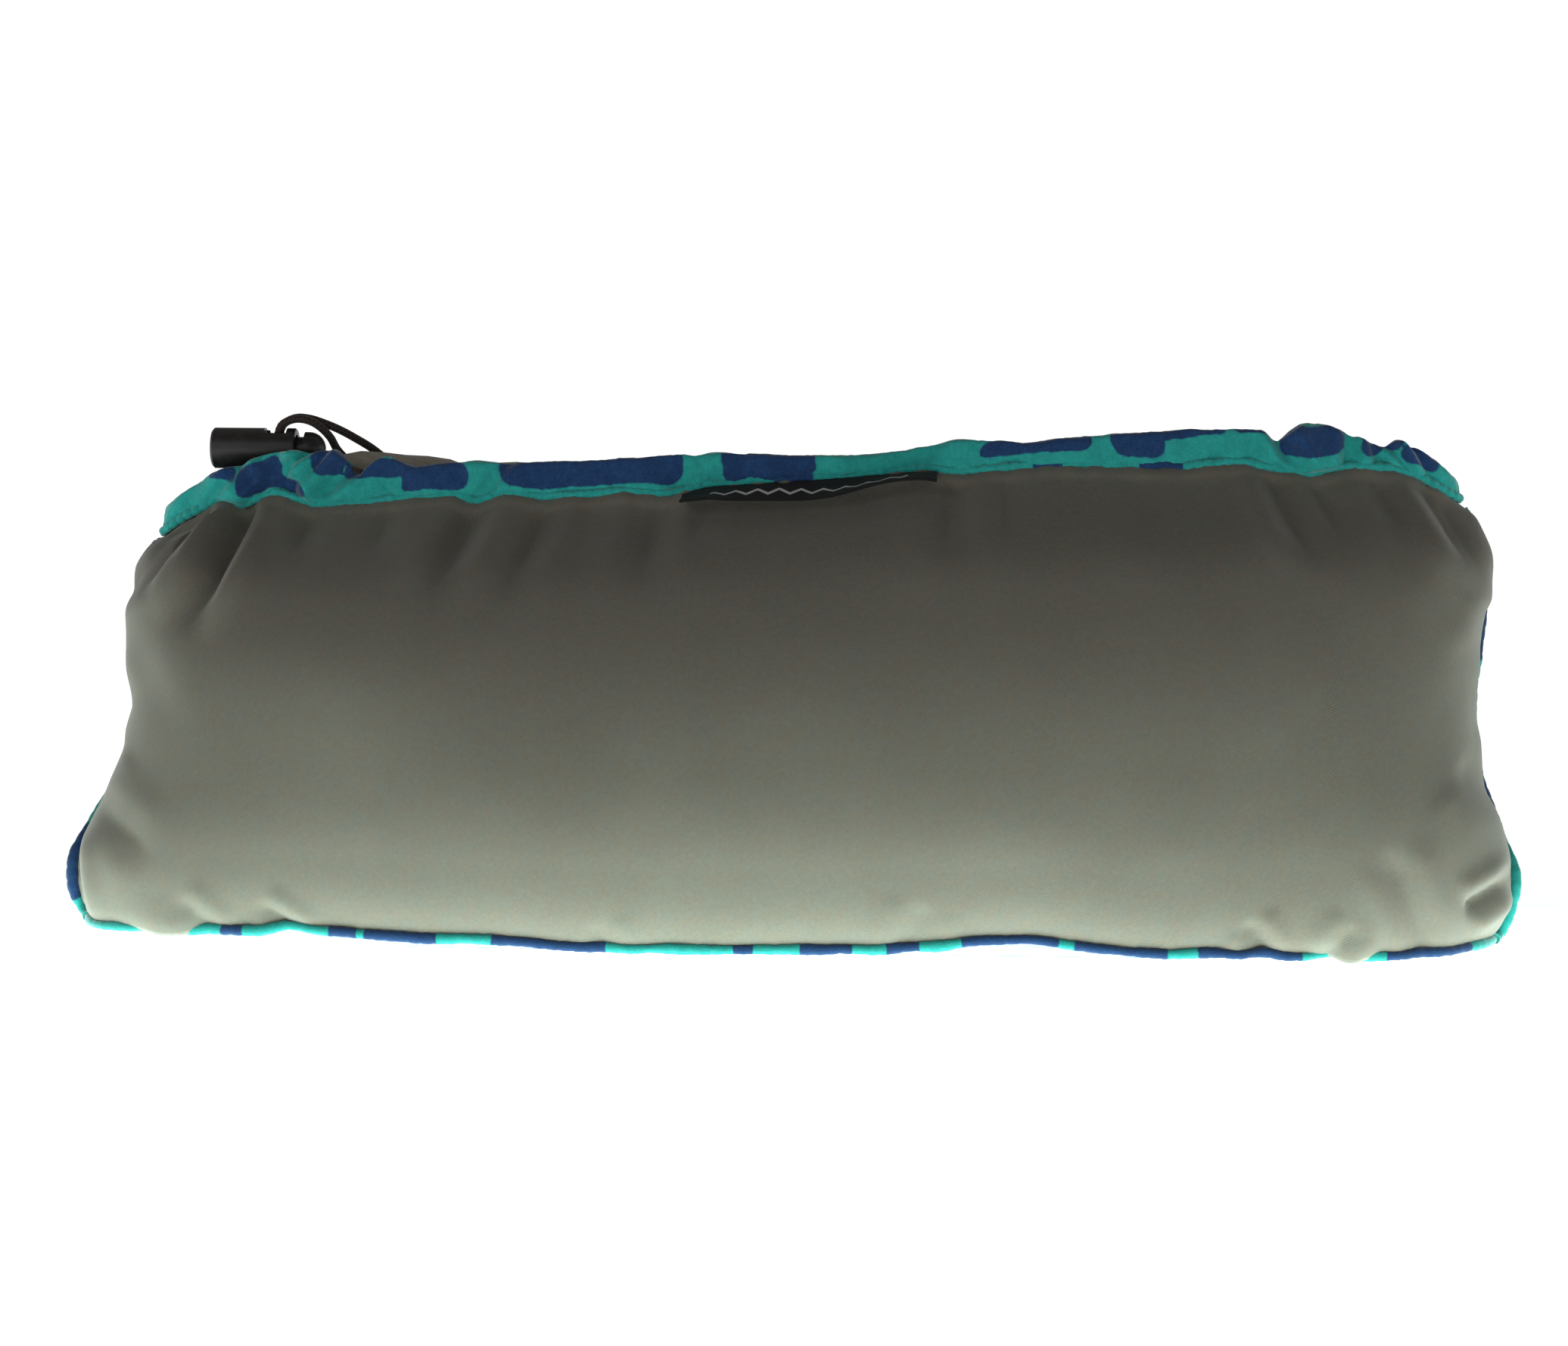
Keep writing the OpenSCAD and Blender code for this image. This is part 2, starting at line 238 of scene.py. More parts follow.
def refine(points, times, axis, closed=False):
    """More points along one axis of a grid, on a smooth curve through those given."""
    p = np.moveaxis(np.asarray(points, float), axis, 0)
    n = len(p)
    at = np.arange((n if closed else n - 1) * times + (0 if closed else 1)) / times
    i = np.minimum(at.astype(int), n - 1 if closed else n - 2)
    t = (at - i).reshape((-1,) + (1,) * (p.ndim - 1))
    if closed:
        a, b, c, d = (p[(i + k) % n] for k in (-1, 0, 1, 2))
    else:
        a = np.where((i == 0).reshape(t.shape), 2 * p[0] - p[1], p[np.maximum(i - 1, 0)])
        b, c = p[i], p[i + 1]
        d = np.where((i == n - 2).reshape(t.shape), 2 * p[-1] - p[-2], p[np.minimum(i + 2, n - 1)])
    out = 0.5 * (2 * b + (c - a) * t + (2 * a - 5 * b + 4 * c - d) * t**2 + (3 * b - a - 3 * c + d) * t**3)
    return np.moveaxis(out, 0, axis)


def grid_normals(p, closed=False):
    """Unit normals of a grid of points, u along the first axis and v along the second."""
    if closed:
        du = np.roll(p, -1, 0) - np.roll(p, 1, 0)
    else:
        du = np.gradient(p, axis=0)
    n = np.cross(du, np.gradient(p, axis=1))
    return n / np.maximum(np.linalg.norm(n, axis=2, keepdims=True), 1e-12)


def grid_faces(nu, nv, start=0, closed_u=False, closed_v=False, flip=False):
    i = np.arange(nu if closed_u else nu - 1)[:, None]
    j = np.arange(nv if closed_v else nv - 1)[None, :]
    i2, j2 = (i + 1) % nu, (j + 1) % nv
    f = np.stack([i * nv + j, i2 * nv + j, i2 * nv + j2, i * nv + j2], axis=-1).reshape(-1, 4) + start
    return f[:, ::-1] if flip else f


def make_piece(name, points, faces, mat, uv=None, print_field=None):
    """A smooth-shaded mesh object in metres from points in millimetres."""
    mesh = bpy.data.meshes.new(name)
    in_metres = np.asarray(points).reshape(-1, 3) * MM
    mesh.from_pydata(in_metres.tolist(), [], [list(map(int, f)) for f in faces])
    mesh.update()
    mesh.polygons.foreach_set("use_smooth", [True] * len(mesh.polygons))
    if uv is not None:
        layer = mesh.uv_layers.new(name="cloth")
        corner = np.zeros(len(mesh.loops), np.int32)
        mesh.loops.foreach_get("vertex_index", corner)
        layer.data.foreach_set("uv", np.asarray(uv).reshape(-1, 2)[corner].ravel())
    if print_field is not None:
        field = mesh.attributes.new("navy", "FLOAT", "POINT")
        field.data.foreach_set("value", np.asarray(print_field, float).ravel())
    mesh.materials.append(mat)
    obj = bpy.data.objects.new(name, mesh)
    bpy.context.scene.collection.objects.link(obj)
    return obj


def shell_points(outer, thickness):
    """The points and faces of a closed sheet of cloth: an outer grid, an inner one and the rim between."""
    inner = outer - grid_normals(outer) * thickness
    nu, nv = outer.shape[:2]
    count = nu * nv
    rim = (
        [i * nv for i in range(nu)]
        + [(nu - 1) * nv + j for j in range(1, nv)]
        + [i * nv + nv - 1 for i in range(nu - 2, -1, -1)]
        + [j for j in range(nv - 2, 0, -1)]
    )
    faces = list(grid_faces(nu, nv)) + list(grid_faces(nu, nv, count, flip=True))
    faces += [(b, a, a + count, b + count) for a, b in zip(rim, rim[1:] + rim[:1])]
    return np.concatenate([outer.reshape(-1, 3), inner.reshape(-1, 3)]), faces


def both_sides(uv):
    """The cloth coordinates of an outer grid, repeated for the inner one."""
    return np.concatenate([uv.reshape(-1, 2)] * 2)


def carry_frames(path):
    """Two unit vectors across a path at each of its points, turning as little as they can."""
    along = np.gradient(path, axis=0)
    along /= np.linalg.norm(along, axis=1, keepdims=True)
    across = np.zeros_like(path)
    last = np.array([0.1, 0.2, 1.0])
    for k, t in enumerate(along):
        last = last - t * (last @ t)
        last /= np.linalg.norm(last)
        across[k] = last
    return across, np.cross(along, across)


def around(sides):
    """The angles of a ring's points, as a row."""
    return 2 * np.pi * np.arange(sides)[None, :] / sides


def tube_points(path, radius, sides):
    """Rings of points round a path; radius is a number or one value for each ring and side."""
    a, b = carry_frames(path)
    turn = around(sides)[..., None]
    r = np.broadcast_to(np.asarray(radius, float), (len(path), sides))[..., None]
    return path[:, None] + (np.cos(turn) * a[:, None] + np.sin(turn) * b[:, None]) * r


def tube_faces(rings, sides, start=0, flip=False):
    """The faces of a tube, with a cap on each end."""
    faces = [list(f) for f in grid_faces(rings, sides, start, closed_v=True)]
    first = list(range(start, start + sides))
    faces += [first[::-1], [(rings - 1) * sides + k for k in first]]
    return [f[::-1] for f in faces] if flip else faces


def distance_along(path):
    return np.concatenate([[0], np.cumsum(np.linalg.norm(np.diff(path, axis=0), axis=1))])


def tube_piece(name, path, radius, sides, mat, uv_scale=1.0, field=None):
    uv = np.stack(np.broadcast_arrays(
        distance_along(path)[:, None], np.arange(sides)[None, :] * uv_scale
    ), axis=-1)
    return make_piece(name, tube_points(path, radius, sides), tube_faces(len(path), sides), mat, uv, field)


def resample(path, step):
    """Points that far apart along a path."""
    length = distance_along(path)
    at = np.linspace(0, length[-1], max(2, int(round(length[-1] / step)) + 1))
    return np.stack([np.interp(at, length, path[:, k]) for k in range(3)], axis=1)


def path_length(path):
    return float(np.linalg.norm(np.diff(path, axis=0), axis=1).sum())


make_camera()
make_world()
make_floor()
bpy.context.scene.view_settings.view_transform = "Standard"
area_light("front_left", (-0.9, -1.3, 0.75), (0, 0, 0.08), (0.8, 0.5), 2.5)

# ---------------------------------------------------------------- materials

TEAL, TEAL_TIPS = (0.022, 0.390, 0.360), (0.050, 0.52, 0.475)      # the print's ground, and its nap's tips
NAVY, NAVY_TIPS = (0.018, 0.050, 0.160), (0.030, 0.095, 0.24)
BRAID_RATE = 5.2         # radians of the braid's pattern for each millimetre of cord
LABEL_W, LABEL_L, LABEL_T = 70.0, 13.0, 0.7


def tinted(colour, gain):
    """A colour with its channels multiplied by one number or by three."""
    return tuple((np.array(colour[:3]) * gain).tolist()) + (1,)


def twill_material(name, colour):
    """Brushed polyester twill: fine diagonal ribs, a soft nap and slight mottling."""
    w = Weave(name)
    x, y = w.cloth_xy()
    rib = w.wave(w.less(y, w.times(x, 0.85)), 8.4)
    thread = w.wave(w.add(x, w.times(y, 0.35)), 21.0)
    place = w.place()
    nap = w.noise(place, 2600, 3, 0.7)
    blotch = w.noise(place, 38, 3, 0.55)
    speckle = w.noise(place, 900, 2, 0.6)
    tone = w.add(w.times(rib, 0.06), w.times(thread, 0.02))
    tone = w.add(tone, w.spread(blotch, -0.035, 0.035))
    tone = w.add(tone, w.spread(speckle, -0.05, 0.05))
    tone = w.add(tone, w.spread(nap, 0.93, 1.07))
    shift = w.range(w.noise(place, 300), 0.35, 0.65, 0.0, 1.0)
    hue = w.mix(shift, tinted(colour, (1.04, 0.99, 0.95)), tinted(colour, (0.97, 1.01, 1.03)))
    scale = w.node("CombineXYZ", {0: tone, 1: tone, 2: tone}).outputs[0]
    return w.set(
        Base_Color=w.mix(1.0, hue, scale, "MULTIPLY"),
        Roughness=w.spread(nap, 0.82, 0.96),
        Normal=w.bump(w.add(w.times(rib, 0.5), w.times(nap, 0.9)), 0.35, 0.00012),
        Sheen_Weight=0.25, Sheen_Roughness=0.45, Specular_IOR_Level=0.15,
    )


def print_material(name, shade=1.0):
    """Brushed fleece-backed cloth printed with navy blobs on teal; the mesh says where the navy is."""
    w = Weave(name)
    place = w.place()
    fuzz = w.noise(place, 1500, 4, 0.75)
    clump = w.noise(place, 420, 3, 0.6)
    navy = w.node("Attribute", attribute_name="navy").outputs["Fac"]
    edge = w.range(w.add(navy, w.spread(clump, -0.18, 0.18)), -0.22, 0.22, 0.0, 1.0)
    tips = w.spread(fuzz, 0, 1)
    deep = w.range(clump, 0.35, 0.75, 0, 0.35)
    blue = w.mix(tips, tinted(NAVY, shade), tinted(NAVY_TIPS, shade))
    teal = w.mix(tips, tinted(TEAL, shade), tinted(TEAL_TIPS, shade))
    blue = w.mix(deep, blue, (0.006, 0.025, 0.075, 1))
    teal = w.mix(deep, teal, (0.006, 0.20, 0.17, 1))
    return w.set(
        Base_Color=w.mix(edge, teal, blue),
        Roughness=w.spread(fuzz, 0.85, 0.98),
        Normal=w.bump(w.add(w.times(fuzz, 0.6), w.times(clump, 0.6)), 0.6, 0.0004),
        Sheen_Weight=0.55, Sheen_Roughness=0.35, Specular_IOR_Level=0.12,
    )


def cord_material(name):
    """Braided polyester cord, dark brown-black, with crossing strands and a slight shine."""
    w = Weave(name)
    s, k = w.cloth_xy()
    slant, twist = w.times(s, BRAID_RATE), w.times(k, 2 * math.pi)
    braid = w.math("MAXIMUM", w.math("SINE", w.add(slant, twist)), w.math("SINE", w.less(slant, twist)))
    fibre = w.noise(w.place(), 3500, 2, 0.6)
    # The cord is darker where the braid sinks between its strands: painted shade in the grooves.
    colour = w.mix(w.range(braid, -0.4, 1.0, 0, 1), (0.006, 0.004, 0.0035, 1), (0.034, 0.023, 0.018, 1))
    return w.set(
        Base_Color=w.mix(w.range(fibre, 0.35, 0.65, 0, 0.3), colour, (0.05, 0.036, 0.03, 1)),
        Roughness=w.spread(fibre, 0.5, 0.72),
        Normal=w.bump(w.add(braid, fibre), 0.5, 0.00015),
        Sheen_Weight=0.2, Specular_IOR_Level=0.3,
    )


def plastic_material(name, shade, rough):
    """Moulded black acetal: a fine spark-eroded skin, with handling marks."""
    w = Weave(name)
    place = w.place()
    skin = w.noise(place, 3200, 3, 0.6)
    wear = w.noise(place, 260, 4, 0.65)
    marked = w.range(wear, 0.45, 0.75, 0, 0.6)
    return w.set(
        Base_Color=w.mix(marked, tinted((1, 0.94, 0.92), shade), tinted((2.3, 2.1, 2.0), shade)),
        Roughness=w.add(w.spread(skin, rough - 0.06, rough + 0.06), w.range(wear, 0.4, 0.8, 0, 0.1)),
        Normal=w.bump(skin, 0.25, 0.00006),
        Specular_IOR_Level=0.5,
    )


def steel_material(name):
    """Drawn spring wire with fine scratches."""
    w = Weave(name)
    scratch = w.noise(w.place(), 2500, 3, 0.6)
    return w.set(
        Base_Color=w.mix(w.spread(scratch, 0, 1), (0.38, 0.38, 0.39, 1), (0.62, 0.62, 0.63, 1)),
        Metallic=1.0,
        Roughness=w.spread(scratch, 0.25, 0.42),
        Normal=w.bump(scratch, 0.1, 0.00005),
    )


def label_material(name):
    """Black damask label with one plain row of silver chevrons."""
    w = Weave(name)
    x, y = w.cloth_xy()
    weave = w.times(w.wave(x, 14.0), w.wave(y, 18.0))
    zigzag = w.add(w.math("PINGPONG", x, 3.0), 3.6)
    line = w.math("LESS_THAN", w.math("ABSOLUTE", w.less(y, zigzag)), 0.8)
    inside = w.math("LESS_THAN", w.math("ABSOLUTE", w.less(x, LABEL_W / 2)), 27.0)
    mark = w.times(w.times(line, inside), w.range(weave, -0.8, 0.2, 0.55, 1.0))
    black = w.mix(w.range(weave, -1, 1, 0, 1), (0.003, 0.003, 0.0035, 1), (0.010, 0.009, 0.010, 1))
    return w.set(
        Base_Color=w.mix(mark, black, (0.75, 0.75, 0.72, 1)),
        Roughness=w.range(weave, -1, 1, 0.55, 0.8),
        Normal=w.bump(w.add(weave, w.times(mark, 1.5)), 0.5, 0.00012),
        Sheen_Weight=0.04, Specular_IOR_Level=0.25,
    )


def thread_material(name):
    """Teal sewing thread, a little fluffy."""
    w = Weave(name)
    place = w.place()
    fuzz = w.noise(place, 1800, 4, 0.75)
    clump = w.noise(place, 500, 2, 0.6)
    return w.set(
        Base_Color=w.mix(w.spread(fuzz, 0, 1), (0.012, 0.35, 0.29, 1), (0.04, 0.50, 0.42, 1)),
        Roughness=w.spread(fuzz, 0.8, 0.97),
        Normal=w.bump(w.add(fuzz, clump), 0.6, 0.0003),
        Sheen_Weight=0.5, Sheen_Roughness=0.35, Specular_IOR_Level=0.12,
    )


def foam_material(name):
    """Shredded foam: open cells, in crumbs of slightly different colours."""
    w = Weave(name)
    place = w.place()
    cells = w.node("TexVoronoi", {"Vector": place, "Scale": 700.0}).outputs["Distance"]
    crumb = w.node("TexVoronoi", {"Vector": place, "Scale": 70.0}).outputs["Color"]
    warm = w.mix(0.35, (0.74, 0.66, 0.36, 1), crumb)
    # The colour is darker towards the middle of each small cell: painted shade in the open cells.
    return w.set(
        Base_Color=w.mix(w.range(cells, 0, 0.6, 0.5, 0), warm, (0.40, 0.34, 0.16, 1)),
        Roughness=w.range(cells, 0, 0.6, 0.98, 0.85),
        Normal=w.bump(cells, 0.6, 0.0006),
        Specular_IOR_Level=0.1,
    )


TWILL = twill_material("grey_twill", (0.158, 0.152, 0.125))
# The grey twill's colour at about twice its brightness: painted light on the pillow cover.
PAINTED_LIGHT_COVER_TWILL = twill_material("pillow_twill_painted_light", (0.34, 0.32, 0.26))
PRINT = print_material("printed_fleece")
SHADED_ROLL_PRINT = print_material("printed_fleece_roll_painted_shade", 0.62)      # the print's colours darkened to 0.62: painted shade on the rolled seams
CORD = cord_material("braided_cord")
BARREL_PLASTIC = plastic_material("barrel_plastic", 0.018, 0.38)
PLUNGER_PLASTIC = plastic_material("plunger_plastic", 0.022, 0.30)
STEEL = steel_material("spring_steel")
LABEL = label_material("woven_label")
THREAD = thread_material("seam_thread")
FOAM = foam_material("crumbed_foam")

# ---------------------------------------------------------------- cords

CORD_D = 2.4
BRAID_STEP = 0.2         # from ring to ring of a strand
LOCK_Z = 140.0
# The routes of the two free strands, in millimetres, as in the CAD part
LEFT_ROUTE = [
    (-149.8, -11.4, 135.6), (-150.3, -8.6, 134), (-150.2, -5.6, 132.2), (-149.2, -2.6, 130.8),
    (-147.2, -0.2, 130.3), (-145.3, 1, 131.2), (-144.6, 1.3, 133.4), (-144.5, 1.3, 136.5),
    (-144.5, 1.3, 140), (-144.4, 1.3, 143.5), (-143.2, 1.4, 146.8), (-139.8, 1.6, 148.6),
    (-135.8, 2, 148.4), (-131.4, 2.6, 147), (-127.3, 3.6, 145.2), (-123.4, 5, 143),
    (-119.3, 6.8, 140.4), (-115.4, 8.6, 137.2), (-111.8, 10, 133.9), (-107.6, 10.8, 131.5),
    (-102.6, 11.2, 130.4), (-97, 11.4, 130.2), (-91, 11.4, 130.4), (-85.6, 11.2, 131.2),
    (-80, 10.9, 132),
]
RIGHT_ROUTE = [
    (-126.4, -14.2, 135.6), (-130.6, -11.6, 133.6), (-134.6, -8.6, 131.6), (-138.4, -5.4, 130.3),
    (-141.6, -2.8, 130.2), (-143.8, -1.5, 132.4), (-144.5, -1.3, 136), (-144.5, -1.3, 140),
    (-144.4, -1.3, 143.5), (-143.1, -1.4, 146.7), (-139.6, -1.5, 148.3), (-135.9, -1.3, 148),
    (-132.7, -0.6, 146.3), (-129.9, 0.8, 143.3), (-128.2, 2.4, 139.9), (-125.6, 4.2, 136.8),
    (-122.4, 6, 134), (-118, 7.4, 131.6), (-112.6, 8, 130.4), (-106, 8.1, 130),
    (-99, 8.1, 130.1), (-92, 8.1, 130.4), (-86, 8.1, 131.2), (-80, 8.1, 132),
]
KNOT_AT = (-77.5, 9.5, 132.2)
# Where each strand leaves the channel: degrees round it, and height
LEFT_EXIT, LEFT_EXIT_Z = 213, 134.6
RIGHT_EXIT, RIGHT_EXIT_Z = 233, 133.4


def braided_piece(name, path, sides, strands, core, ridge, squeeze=0.0):
    """A cord along a path: a fine tube whose surface has the braid's crossing ridges."""
    slant = BRAID_RATE * np.linspace(0, path_length(path), len(path))[:, None]
    twist = strands * around(sides)
    wave = np.maximum(np.sin(slant + twist), np.sin(slant - twist))
    radius = CORD_D / 2 * (core + ridge * wave - squeeze)
    return tube_piece(name, path, radius, sides, CORD, 4.0 / sides)


def make_cord(name, route, start):
    """One free strand, which the lock squeezes, and its path."""
    path = resample(refine(np.array([start] + route, float), 24, 0), BRAID_STEP)
    squeeze = 0.06 * bell(path[:, :1], -144.5, 4) * bell(path[:, 2:], LOCK_Z, 6)
    return braided_piece(name, path, 24, 4, 0.89, 0.10, squeeze), path


# ---------------------------------------------------------------- form of the stuffed pocket

PANEL_H = 133.0
POCKET_W, POCKET_D = 410.0, 146.0
MOUTH_W, MOUTH_D, CASING_T = 344.0, 34.0, 5.0
LEAN, RISE = 6.0, 0.00012      # the form leans to the right, and its right end is a little taller
SEAM_Z = 5.2
CHANNEL_Z = 139.3
CLOTH_T, SEAM_R = 0.9, 1.5
CASING_HALF_W = MOUTH_W / 2 + CASING_T
CASING_HALF_D = MOUTH_D / 2 + CASING_T


def half_width(z):
    z = np.asarray(z, float)
    return (
        POCKET_W / 2 - 12 + 9.8 * bell(z, 22, 24)
        - 10 * np.maximum(0, 1 - z / 8) ** 2
        - 15 * np.maximum(0, (z - 100) / (PANEL_H - 100)) ** 2
    )


def half_depth(z):
    z = np.asarray(z, float)
    low = 48 + (POCKET_D / 2 - 48) * np.sqrt(np.maximum(0, 1 - ((56 - z) / 56) ** 2))
    share = np.clip((z - 56) / (PANEL_H - 56), 0, 1)
    high = CASING_HALF_D + (POCKET_D / 2 - CASING_HALF_D) * (1 - share**3)
    return np.where(z < 56, low, high)


def leaned(x, y, z):
    x, y, z = np.broadcast_arrays(x, y, z)
    return np.stack([x + LEAN * z / PANEL_H, y, z * (1 + RISE * x)], axis=-1)


def oblong(t, a, b, z):
    c, s = np.cos(t), np.sin(t)
    return leaned(a * np.sign(c) * np.abs(c) ** (2 / 3), b * np.sign(s) * np.abs(s) ** (2 / 3), z)


def channel_line(angles):
    """The middle line of the drawcord's channel, at angles from its right end."""
    return oblong(angles, CASING_HALF_W - CASING_T / 2, CASING_HALF_D - CASING_T / 2, CHANNEL_Z)


def channel_point(degrees, z):
    x, y, _ = channel_line(math.radians(degrees))
    return x, y, z


COLUMNS = 256            # round the pocket
SIDE_ROWS = 37           # up it, above the seam at its foot
BASE_RINGS = 7           # across its base, in the simulation


def even_angles(count, a, b):
    """Angles whose points lie evenly along the rounded oblong, starting at its right end."""
    fine = np.linspace(0, 2 * np.pi, 40001)
    length = distance_along(oblong(fine, a, b, 0))
    return np.interp(np.arange(count) / count * length[-1], length, fine)


def row_heights():
    """Heights of the rows up the side, evenly spaced along the cloth at the middle of the front."""
    z = np.linspace(SEAM_Z, PANEL_H, 4001)
    d = half_depth(z)
    length = np.concatenate([[0], np.cumsum(np.hypot(np.diff(z), np.diff(d)))])
    above = np.interp(np.linspace(0, length[-1], SIDE_ROWS), length, z)
    return np.concatenate([[0, 1.6, 3.4], above])


HEIGHTS = row_heights()
SEAM_ROW = 3
ANGLES = even_angles(COLUMNS, 200, 66)


def end_turn(z):
    """How far round each column is turned near the foot, where the seams at both ends come forward."""
    from_right = (ANGLES + np.pi) % (2 * np.pi) - np.pi
    return 0.09 * (1 - smooth_step(z, 18, 46)) * (bell(ANGLES, np.pi, 0.3) - bell(from_right, 0, 0.3))


def widened(points):
    """The mouth's ends drawn out sideways, the left one most."""
    x, y, z = np.moveaxis(points, -1, 0)
    reach = 3 * smooth_step(x, 160, 180) - 6 * smooth_step(-x, 150, 170)
    return np.stack([x + reach * smooth_step(z, 108, 124), y, z], axis=-1)


def start_form():
    """The stuffed form a little slack, as rows of points round the pocket from base to mouth."""
    slack = 3.0
    rows = []
    for z in HEIGHTS:
        inset = slack * smooth_step(z, 0, 30) * (1 - smooth_step(z, 95, PANEL_H))
        under_hem = 5.5 * bell(z, 124, 9) * smooth_step(PANEL_H - z, 0, 5)
        waist = 3.5 * bell(z, 74, 26)
        angles = ANGLES + end_turn(z)
        half_w = half_width(z) - 0.5 * inset - waist
        rows.append(oblong(angles, half_w, half_depth(z) - inset - under_hem, z))
    form = np.array(rows)
    x, y, z = np.moveaxis(form, -1, 0)
    ripple = lattice_noise(x + 3 * y, z, 22, 11) * 0.15 * smooth_step(z, 2, 20)
    out = grid_normals(np.swapaxes(form, 0, 1), closed=True)
    return form + np.swapaxes(out, 0, 1) * ripple[..., None]


def slack_weights(form):
    """The share of spare cloth at each point, and where a seam draws it up, from 0 to 1."""
    x, y, z = np.moveaxis(form, -1, 0)
    under_hem = smooth_step(z, PANEL_H - 42, PANEL_H - 4)
    ends = np.maximum(bell(x, -138, 34), bell(x, 158, 30))
    spare = 0.008 + under_hem * (0.02 + 0.05 * ends)
    seams = bell(z, SEAM_Z, 4) + bell(np.abs(y), 0, 4) * (np.abs(x) > 120)
    return spare, np.clip(seams, 0, 1)


def soften(grid, reach):
    """Averages a grid over its neighbours; columns go round the pocket, rows stop at its edges."""
    steps = np.arange(-3 * reach, 3 * reach + 1)
    weights = np.exp(-0.5 * (steps / reach) ** 2)
    weights /= weights.sum()
    rows = len(grid)
    round_it = sum(w * np.roll(grid, k, axis=1) for k, w in zip(steps, weights))
    return sum(w * round_it[np.clip(np.arange(rows) + k, 0, rows - 1)] for k, w in zip(steps, weights))


def simulate(form):
    """Lets pressure fill the sewn pocket, with its mouth and the middle of its base held."""
    rows, cols = form.shape[:2]
    base = [form[0] * (1 - f, 1 - f, 1) for f in np.linspace(0.9, 0.1, BASE_RINGS)]
    cap = [form[-1] * (1, 1 - f, 1) for f in (0.35, 0.7)]
    points = np.concatenate([np.array(base), form, np.array(cap)])
    obj = make_piece("pocket_sim", points, tube_faces(len(points), cols), TWILL)
    centre = Vector((0, 0, 0.07))
    if np.mean([p.normal.dot(p.center - centre) for p in obj.data.polygons]) < 0:
        obj.data.flip_normals()     # pressure pushes along the normals
    spare, seams = slack_weights(form)
    most, least = -0.10, 0.03
    wanted = np.where(seams > 0.05, seams * least, -spare)
    weight = np.ones(points.shape[:2]) * (0 - most) / (least - most)
    weight[BASE_RINGS:BASE_RINGS + rows] = (wanted - most) / (least - most)
    held = np.ones(points.shape[:2])
    held[BASE_RINGS + SEAM_ROW + 1:BASE_RINGS + rows - 1] = 0
    pin = obj.vertex_groups.new(name="held")
    shrink = obj.vertex_groups.new(name="gathered")
    for k in range(points.shape[0] * cols):
        r, c = divmod(k, cols)
        pin.add([k], float(held[r, c]), "REPLACE")
        shrink.add([k], float(np.clip(weight[r, c], 0, 1)), "REPLACE")
    cloth = obj.modifiers.new("Cloth", "CLOTH")
    s = cloth.settings
    s.quality = 6
    s.mass = 0.25
    s.tension_stiffness = s.compression_stiffness = 25
    s.shear_stiffness = 10
    s.bending_stiffness = 4
    s.air_damping = 1.5
    s.vertex_group_mass = "held"
    s.pin_stiffness = 1
    s.vertex_group_shrink = "gathered"
    s.shrink_min, s.shrink_max = most, least
    s.use_pressure = True
    s.uniform_pressure_force = 3.0
    s.effector_weights.gravity = 0
    cloth.collision_settings.use_collision = False
    cloth.collision_settings.use_self_collision = False
    cloth.point_cache.frame_start, cloth.point_cache.frame_end = 1, 30
    scene = bpy.context.scene
    for frame_number in range(1, 25):
        scene.frame_set(frame_number)
    done = obj.evaluated_get(bpy.context.evaluated_depsgraph_get()).to_mesh()
    out = np.zeros(len(done.vertices) * 3)
    done.vertices.foreach_get("co", out)
    scene.frame_set(1)
    bpy.data.objects.remove(obj)
    moved = out.reshape(points.shape)[BASE_RINGS:BASE_RINGS + rows] / MM - form
    x, y, z = np.moveaxis(form, -1, 0)
    creased = np.maximum(bell(x, -168, 26), bell(x, 178, 22)) * smooth_step(z, 50, 90)
    calm = soften(moved, 5)
    moved = calm + (soften(moved, 1) - calm) * creased[..., None]
    far = np.linalg.norm(moved, axis=-1, keepdims=True)
    furthest = 12.0
    near_hem = 0.8 * smooth_step(z, 106, 126)[..., None]
    return form + moved * np.minimum(1, furthest / np.maximum(far, 1e-9)) * (1 - near_hem)


# How far the stuffing lifts the seam along the foot of the front: (x, z) in millimetres
FOOT_LIFT = [
    (-200, 3.2), (-160, 3.8), (-130, 5.4), (-113, 4.4), (-96, 4.0), (-80, 4.8), (-63, 4.0), (-46, 2.8),
    (0, 3.2), (37, 3.6), (54, 5.4), (70, 5.8), (87, 3.8), (104, 2.8), (120, 3.4), (137, 2.2), (154, 1.6),
    (170, 1.8), (200, 3.2),
]


def rounded_foot(form):
    """The foot as stuffing rounds it: the seam is lifted, and below it the base curves in."""
    form = np.maximum(form, (-np.inf, -np.inf, 0.0))
    under = np.clip(1 - form[..., 2] / SEAM_Z, 0, 1)[..., None]
    tuck = np.where(form[..., 1:2] < 0, 0.80, 0.50) * (0, 1, 0) + (0.20, 0, 0)
    form = form * (1 - under * tuck)
    lifted = smooth_step(form[..., 2], 0, SEAM_Z) * (1 - smooth_step(form[..., 2], SEAM_Z, 48))
    form[..., 2] += curve_through(FOOT_LIFT, form[..., 0]) * lifted
    return form


form = start_form()
form = simulate(form)
form = widened(rounded_foot(form))

# ---------------------------------------------------------------- the print

REPEAT = (230.0, 140.0)
# Navy blobs of one repeat of the print, in millimetres: middle, half length, half height
BLOBS = [
    (18, 14, 26, 8), (78, 22, 20, 10), (140, 12, 30, 7), (200, 24, 18, 11), (45, 46, 30, 9),
    (112, 50, 22, 8), (172, 52, 24, 10), (222, 60, 16, 7), (20, 78, 22, 10), (84, 80, 26, 8),
    (150, 84, 20, 11), (206, 92, 24, 8), (50, 108, 24, 9), (116, 112, 30, 8), (182, 120, 20, 9),
    (8, 126, 14, 7),
]


